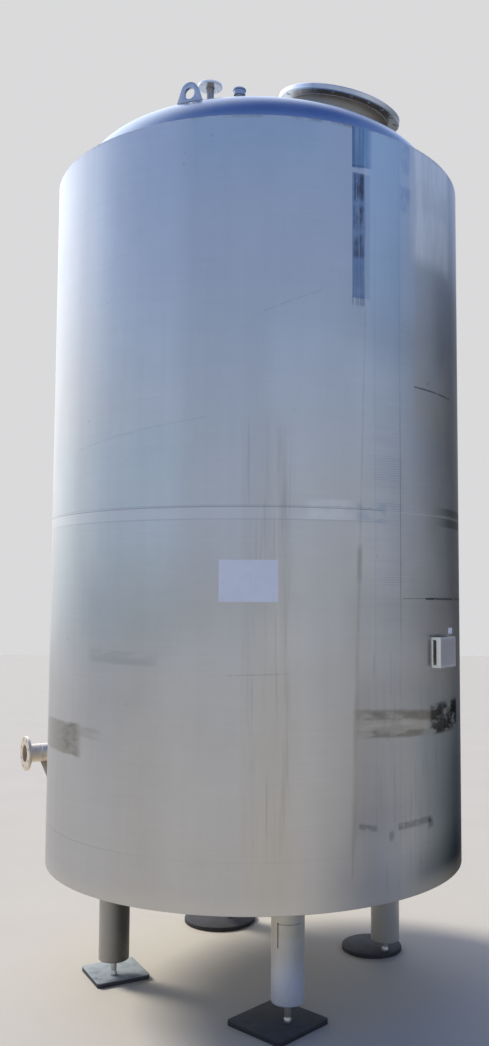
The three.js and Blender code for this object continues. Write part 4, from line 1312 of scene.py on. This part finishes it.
def studio_light():
    """A soft dome: pale at the horizon and blue overhead, with a glow at the left rear and a
    dim right rear. The camera sees a plain backdrop in its place."""
    world = bpy.data.worlds.new("studio")
    bpy.context.scene.world = world
    world.use_nodes = True
    tree = world.node_tree
    x, y, z = fields_of(tree, add_node(tree, "TexCoord", {}).outputs["Generated"])
    sky = add_node(tree, "ValToRGB", {0: z})
    elements = sky.color_ramp.elements
    while len(elements) < len(SKY):
        elements.new(0.5)
    for element, (place, color) in zip(elements, SKY):
        element.position = place
        element.color = (*color, 1)
    to_glow, to_dim = (x * a + y * b + z * c for a, b, c in (GLOW_FROM, DIM_FROM))
    glow = to_glow.ramp(0.38, 1.485) * 2.75
    dim = to_dim.ramp(-0.761, 1.534) * 1.13 * z.ramp(0.42, 0.24)
    dome = add_node(tree, "VectorMath", {0: sky.outputs[0], "Scale": dim.inverse()}, operation="SCALE")
    lit = add_node(tree, "VectorMath", {0: dome.outputs[0], 1: glow}, operation="ADD")
    camera_ray = add_node(tree, "LightPath", {}).outputs["Is Camera Ray"]
    seen = blended(tree, lit.outputs[0], BACKDROP, camera_ray)
    feed(tree, tree.nodes["Background"].inputs["Color"], seen)


KEY_FROM = Vector((-7.0, 4.5, 6.5))


def key_light():
    """A broad sun that lights the matte pieces and the floor; the dome's glow is its reflection."""
    data = bpy.data.lights.new("key", "SUN")
    data.energy = 5.1
    data.angle = math.radians(18)
    data.color = (1.0, 0.99, 0.94)
    light = bpy.data.objects.new("key", data)
    light.rotation_euler = KEY_FROM.to_track_quat("Z", "Y").to_euler()
    light.visible_glossy = False
    bpy.context.scene.collection.objects.link(light)


studio_light()
key_light()

FRAME_HEIGHT = 1046
FOCAL = 964.0
EYE = (0.0, -6.053, 2.261)
PAN, PITCH, ROLL = (math.radians(angle) for angle in (1.515, 4.237, 0.231))
OPTICAL_CENTRE_OFFSET = 37.5

forward = Vector((math.sin(PAN) * math.cos(PITCH), math.cos(PAN) * math.cos(PITCH), math.sin(PITCH)))
level_right = Vector((math.cos(PAN), -math.sin(PAN), 0))
level_up = level_right.cross(forward)
right = level_right * math.cos(ROLL) + level_up * math.sin(ROLL)
up = level_up * math.cos(ROLL) - level_right * math.sin(ROLL)
lens = bpy.data.cameras.new("camera")
lens.sensor_fit = "VERTICAL"
lens.sensor_height = 36.0
lens.lens = FOCAL / FRAME_HEIGHT * lens.sensor_height
lens.shift_x = -OPTICAL_CENTRE_OFFSET / FRAME_HEIGHT
lens.clip_end = 200
camera = bpy.data.objects.new("camera", lens)
camera.matrix_world = basis(AXIS + Vector(EYE), right, up, forward * -1)
bpy.context.scene.collection.objects.link(camera)
bpy.context.scene.camera = camera
bpy.context.scene.view_settings.view_transform = "Standard"
